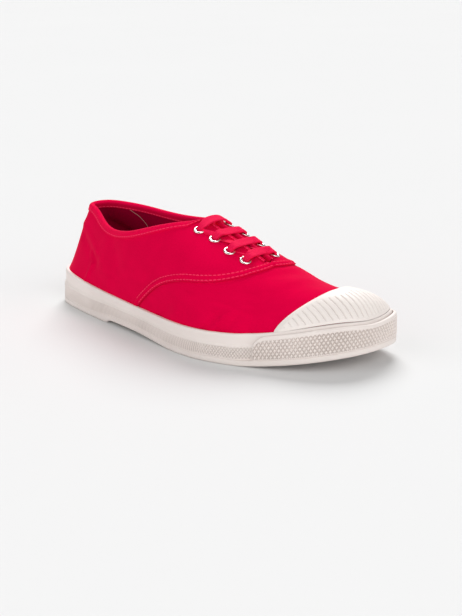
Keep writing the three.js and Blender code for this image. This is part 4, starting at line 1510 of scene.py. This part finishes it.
@dataclass
class Lacing:
    """Eight nickel eyelets and one flat lace through them in straight bars."""

    rows: tuple[EyeletRow, ...] = (
        EyeletRow(11.9, 12.2, 14, 10.4),
        EyeletRow(24.3, 25, 13.3, 10.6),
        EyeletRow(37.6, 37.6, 14.6, 10.8),
        EyeletRow(48.4, 48.6, 12.9, 11),
    )
    width: float = 6.6
    thick: float = 1.5
    lift: float = 2.6
    top_lift: float = 4.2
    hidden: float = -2.2
    rise: tuple[tuple[tuple[float, float], tuple[float, float]], ...] = (
        ((-1.6, 0.0), (3.2, 1.9)),
        ((0.5, 0.0), (3.4, 1.9)),
        ((2.3, 1.4), (4.4, 1.9)),
        ((3.2, 4.0), (5.6, 1.8)),
    )

    def place(self, row: int, inner: bool) -> Matrix:
        """Where an eyelet stands on the canvas, +Z outwards, in metres."""
        at = self.rows[row]
        q = LAST.row_of_spine(at.inner_x if inner else at.outer_x)
        q = np.array(LOOP - q if inner else q)
        u = LAST.beside_ridge(q, np.array(at.inner if inner else at.outer))
        spot = Vector(LAST.rib(q, u) * MM)
        turn = Vector((0, 0, 1)).rotation_difference(Vector(LAST.normal(q, u)))
        return Matrix.Translation(spot) @ turn.to_matrix().to_4x4()

    def places(self) -> list[Matrix]:
        """All eyelets, outer side then inner side of each row."""
        return [self.place(row, inner) for row in range(len(self.rows)) for inner in (False, True)]

    def eyelet(self) -> bpy.types.Object:
        """One eyelet at the origin: a rolled flange and a barrel."""
        deselect()
        bpy.ops.mesh.primitive_torus_add(
            major_segments=40, minor_segments=12, major_radius=2.88 * MM, minor_radius=0.8 * MM
        )
        flange = bpy.context.object
        flange.data.transform(Matrix.Translation((0, 0, 0.72 * MM)) @ Matrix.Diagonal((1, 1, 0.72, 1)))
        bpy.ops.mesh.primitive_cylinder_add(
            vertices=40, radius=2.35 * MM, depth=2.6 * MM, end_fill_type="NOTHING",
            location=(0, 0, -0.6 * MM),
        )
        barrel = bpy.context.object
        barrel.data.transform(barrel.matrix_world)
        barrel.matrix_world = Matrix.Identity(4)
        modify(barrel, "SOLIDIFY", thickness=0.35 * MM, offset=-1)
        return join("eyelet", [flange, barrel])

    def eyelets(self) -> None:
        """Makes and dresses the eyelets, one copy for each hole."""
        seed = self.eyelet()
        shade(seed, 50)
        for index, place in enumerate(self.places()):
            side = "medial" if index % 2 else "lateral"
            node = f"eyelet_{side}_{index // 2 + 1}"
            copy = seed.copy()
            copy.data = seed.data.copy()
            copy.name = f"nickel_{side}_{index // 2 + 1}"
            bpy.context.collection.objects.link(copy)
            copy.data.transform(place)
            dress(copy, NICKEL, [node])
        bpy.data.objects.remove(seed)

    def route(self) -> tuple[Array, Array, Array, Array]:
        """The lace's line through the eyelets.

        Returns:
            Points, the direction across the lace, its width and its thickness at each.
        """
        points: list[Array] = []
        across: list[Array] = []
        widths: list[float] = []
        thicks: list[float] = []

        def add(point: Array, wide: Sequence[float], width: float, thick: float) -> None:
            points.append(np.asarray(point, float))
            across.append(unit(np.asarray(wide, float)))
            widths.append(width)
            thicks.append(thick)

        for row, at in enumerate(self.rows):
            outer, inner = (self.local(self.place(row, side)) for side in (False, True))
            near = LAST.spine_point(np.array(LAST.row_of_spine((2 * at.outer_x + at.inner_x) / 3)))
            far = LAST.spine_point(np.array(LAST.row_of_spine((at.outer_x + 2 * at.inner_x) / 3)))
            slope = float(LAST.ridge_at(near[0])[1])
            way = (1, 0, slope)
            lift = (self.top_lift if row == 0 else self.lift) - 0.6
            bar = [
                *((outer(*spot), way, *size) for spot, size in self.rise),
                (near + [0, -at.outer / 3, lift], way, self.width, self.thick),
                (far + [0, at.inner / 3, lift], way, self.width, self.thick),
                *((inner(*spot), way, *size) for spot, size in reversed(self.rise)),
            ]
            if row % 2 == 0:
                bar = bar[::-1]
            for entry in bar:
                add(*entry)
            here = outer if row % 2 == 0 else inner
            if row + 1 < len(self.rows):
                there = self.local(self.place(row + 1, row % 2 == 1))
                y_way = np.cross(here(1) - here(0), way)
                start, stop = here(self.hidden), there(self.hidden)
                add(start + (stop - start) * 0.22, y_way, 4.5, 1.0)
                add(start + (stop - start) * 0.78, y_way, 4.5, 1.0)
        return np.array(points), np.array(across), np.array(widths), np.array(thicks)

    @staticmethod
    def local(place: Matrix) -> Callable[..., Array]:
        """Points beside an eyelet, given their height over it and their way to the instep."""

        def at(out: float, inward: float = 0.0) -> Array:
            point = np.array(place @ Vector((0, 0, out * MM))) / MM
            toward = -math.copysign(1, point[1] - LAST.axis_y)
            return point + np.array([0, inward * toward, inward / 4])

        return at

    def lace(self) -> bpy.types.Object:
        """The flat lace as one tube with rolled edges and a soft middle fold.

        Known fault: gather is zero in the first column of a ring and not in the last, so the two
        do not weld. The tube stays open along one edge, and close_ends fills across it with stray
        faces between the eyelets.

        Returns:
            The lace.
        """
        points, across, widths, thicks = self.route()
        data = np.concatenate([points, across, widths[:, None], thicks[:, None]], 1)
        line = smooth_line(data, 24 * (len(points) - 1) // 2)
        centre, wide = line[:, :3], unit(line[:, 3:6])
        ahead = unit(np.gradient(centre, axis=0))
        wide = unit(wide - ahead * (wide * ahead).sum(-1, keepdims=True))
        thick = np.cross(ahead, wide)
        turn = np.linspace(0, 2 * math.pi, 33)
        c, s = np.cos(turn), np.sin(turn)
        side = np.sign(c) * np.abs(c) ** 0.75 * 0.5
        rolled = np.sign(s) * np.abs(s) ** 0.6 * 0.5 * (0.62 + 0.38 * smooth(0.0, 0.34, np.abs(side)))
        tight = np.clip((self.width - line[:, 6]) / 2.4, 0.15, 1)
        half = line[:, 6:7, None] * side[None, :, None]
        depth = line[:, 7:8, None] * rolled[None, :, None]
        gather = 0.34 * tight[:, None] * np.cos(side * 4 * math.pi)[None, :] * np.sign(s)[None, :]
        rings = centre[:, None] + wide[:, None] * half + thick[:, None] * (depth + gather[..., None])
        sheet = lay_sheet("lace", rings.transpose(1, 0, 2), middle=0)
        lengths = np.cumsum(np.linalg.norm(np.diff(centre, axis=0), axis=1))
        along = np.concatenate([[0], lengths])[None, :]
        places = np.stack(np.broadcast_arrays(along, (side * self.width)[:, None]), -1)
        set_map(sheet, places.reshape(-1, 2))
        weld(sheet, 0.002)
        close_ends(sheet)
        return sheet

    def build(self) -> None:
        """Makes and dresses eyelets and lace."""
        self.eyelets()
        lace = self.lace()
        shade(lace, 70)
        dress(lace, CORD, [f"lace_bar_{row + 1}" for row in range(len(self.rows))])


# ------------------------------------------------------------------ the studio


@dataclass
class Studio:
    """Camera, pale floor and soft light."""

    azimuth: float = 46.6
    elevation: float = 15.85
    roll: float = -1.0
    distance: float = 0.813
    look: Point = (0.0246, -0.000905, 0.0186)
    focal_length: float = 75.74026
    sensor: float = 36
    floor_tones: tuple[float, float] = (0.745, 0.755)
    surround: float = 0.31

    def camera(self) -> None:
        """Adds the camera."""
        a, e, r = (math.radians(v) for v in (self.azimuth, self.elevation, self.roll))
        back = Vector((math.sin(a) * math.cos(e), -math.cos(a) * math.cos(e), math.sin(e)))
        right = Vector((math.cos(a), math.sin(a), 0))
        up = back.cross(right)
        x = right * math.cos(r) + up * math.sin(r)
        y = up * math.cos(r) - right * math.sin(r)
        place = Matrix((x, y, back)).transposed().to_4x4()
        place.translation = Vector(self.look) + back * self.distance
        lens = bpy.data.cameras.new("camera")
        lens.sensor_width = self.sensor
        lens.lens = self.focal_length
        lens.clip_start = 0.01
        lens.clip_end = 100
        camera = bpy.data.objects.new("camera", lens)
        camera.matrix_world = place
        bpy.context.collection.objects.link(camera)
        bpy.context.scene.camera = camera

    def floor(self) -> None:
        """Adds the floor."""
        deselect()
        bpy.ops.mesh.primitive_plane_add(size=60)
        floor = bpy.context.object
        floor.name = "floor"
        g = Graph("pale_floor")
        cloud = g.noise(g.coordinates(Coords.OBJECT), 3, 1)
        first, second = ((tone, tone, tone) for tone in self.floor_tones)
        g.feed(g.shader.inputs["Base Color"], g.blend(cloud, first, second))
        g.set(roughness=0.9, specular=0.0)
        floor.data.materials.append(g.material)

    def light(self) -> None:
        """Adds an even pale surround, a key light behind the shoe, and a side and a front fill."""
        world = bpy.data.worlds.new("studio")
        bpy.context.scene.world = world
        world.use_nodes = True
        world.node_tree.nodes["Background"].inputs["Color"].default_value = (1, 1, 1, 1)
        world.node_tree.nodes["Background"].inputs["Strength"].default_value = self.surround
        self.sun("key", (-0.64, 0.75, 0.95), 34, 2.7)
        self.sun("side", (1.0, -0.15, 0.5), 60, 1.4)
        self.sun("fill", (-0.2, -1.0, 0.35), 70, 1.12)
        bpy.context.scene.view_settings.view_transform = "Standard"

    @staticmethod
    def sun(name: str, toward: Point, spread: float, strength: float) -> None:
        """Adds a soft distant light.

        Args:
            name: its name.
            toward: the direction from the shoe to the light.
            spread: its size in degrees.
            strength: its strength.
        """
        lamp = bpy.data.lights.new(name, "SUN")
        lamp.angle = math.radians(spread)
        lamp.energy = strength
        obj = bpy.data.objects.new(name, lamp)
        obj.rotation_euler = Vector(toward).to_track_quat("Z", "Y").to_euler()
        bpy.context.collection.objects.link(obj)

    def build(self) -> None:
        """Makes the studio."""
        self.camera()
        self.floor()
        self.light()


def main() -> None:
    """Builds the studio and the shoe."""
    logging.basicConfig(level=logging.INFO, format="%(message)s")
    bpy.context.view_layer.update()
    Studio().build()
    lacing = Lacing()
    Upper().build(lacing.places())
    Tongue().build()
    sole = Sole()
    sole.build()
    ToeStrip().build(sole)
    ToeCap().build()
    lacing.build()
    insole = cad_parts["insole"]
    insole.data.materials.clear()
    insole.data.materials.append(material_of(SOCK))


if __name__ == "__main__":
    main()
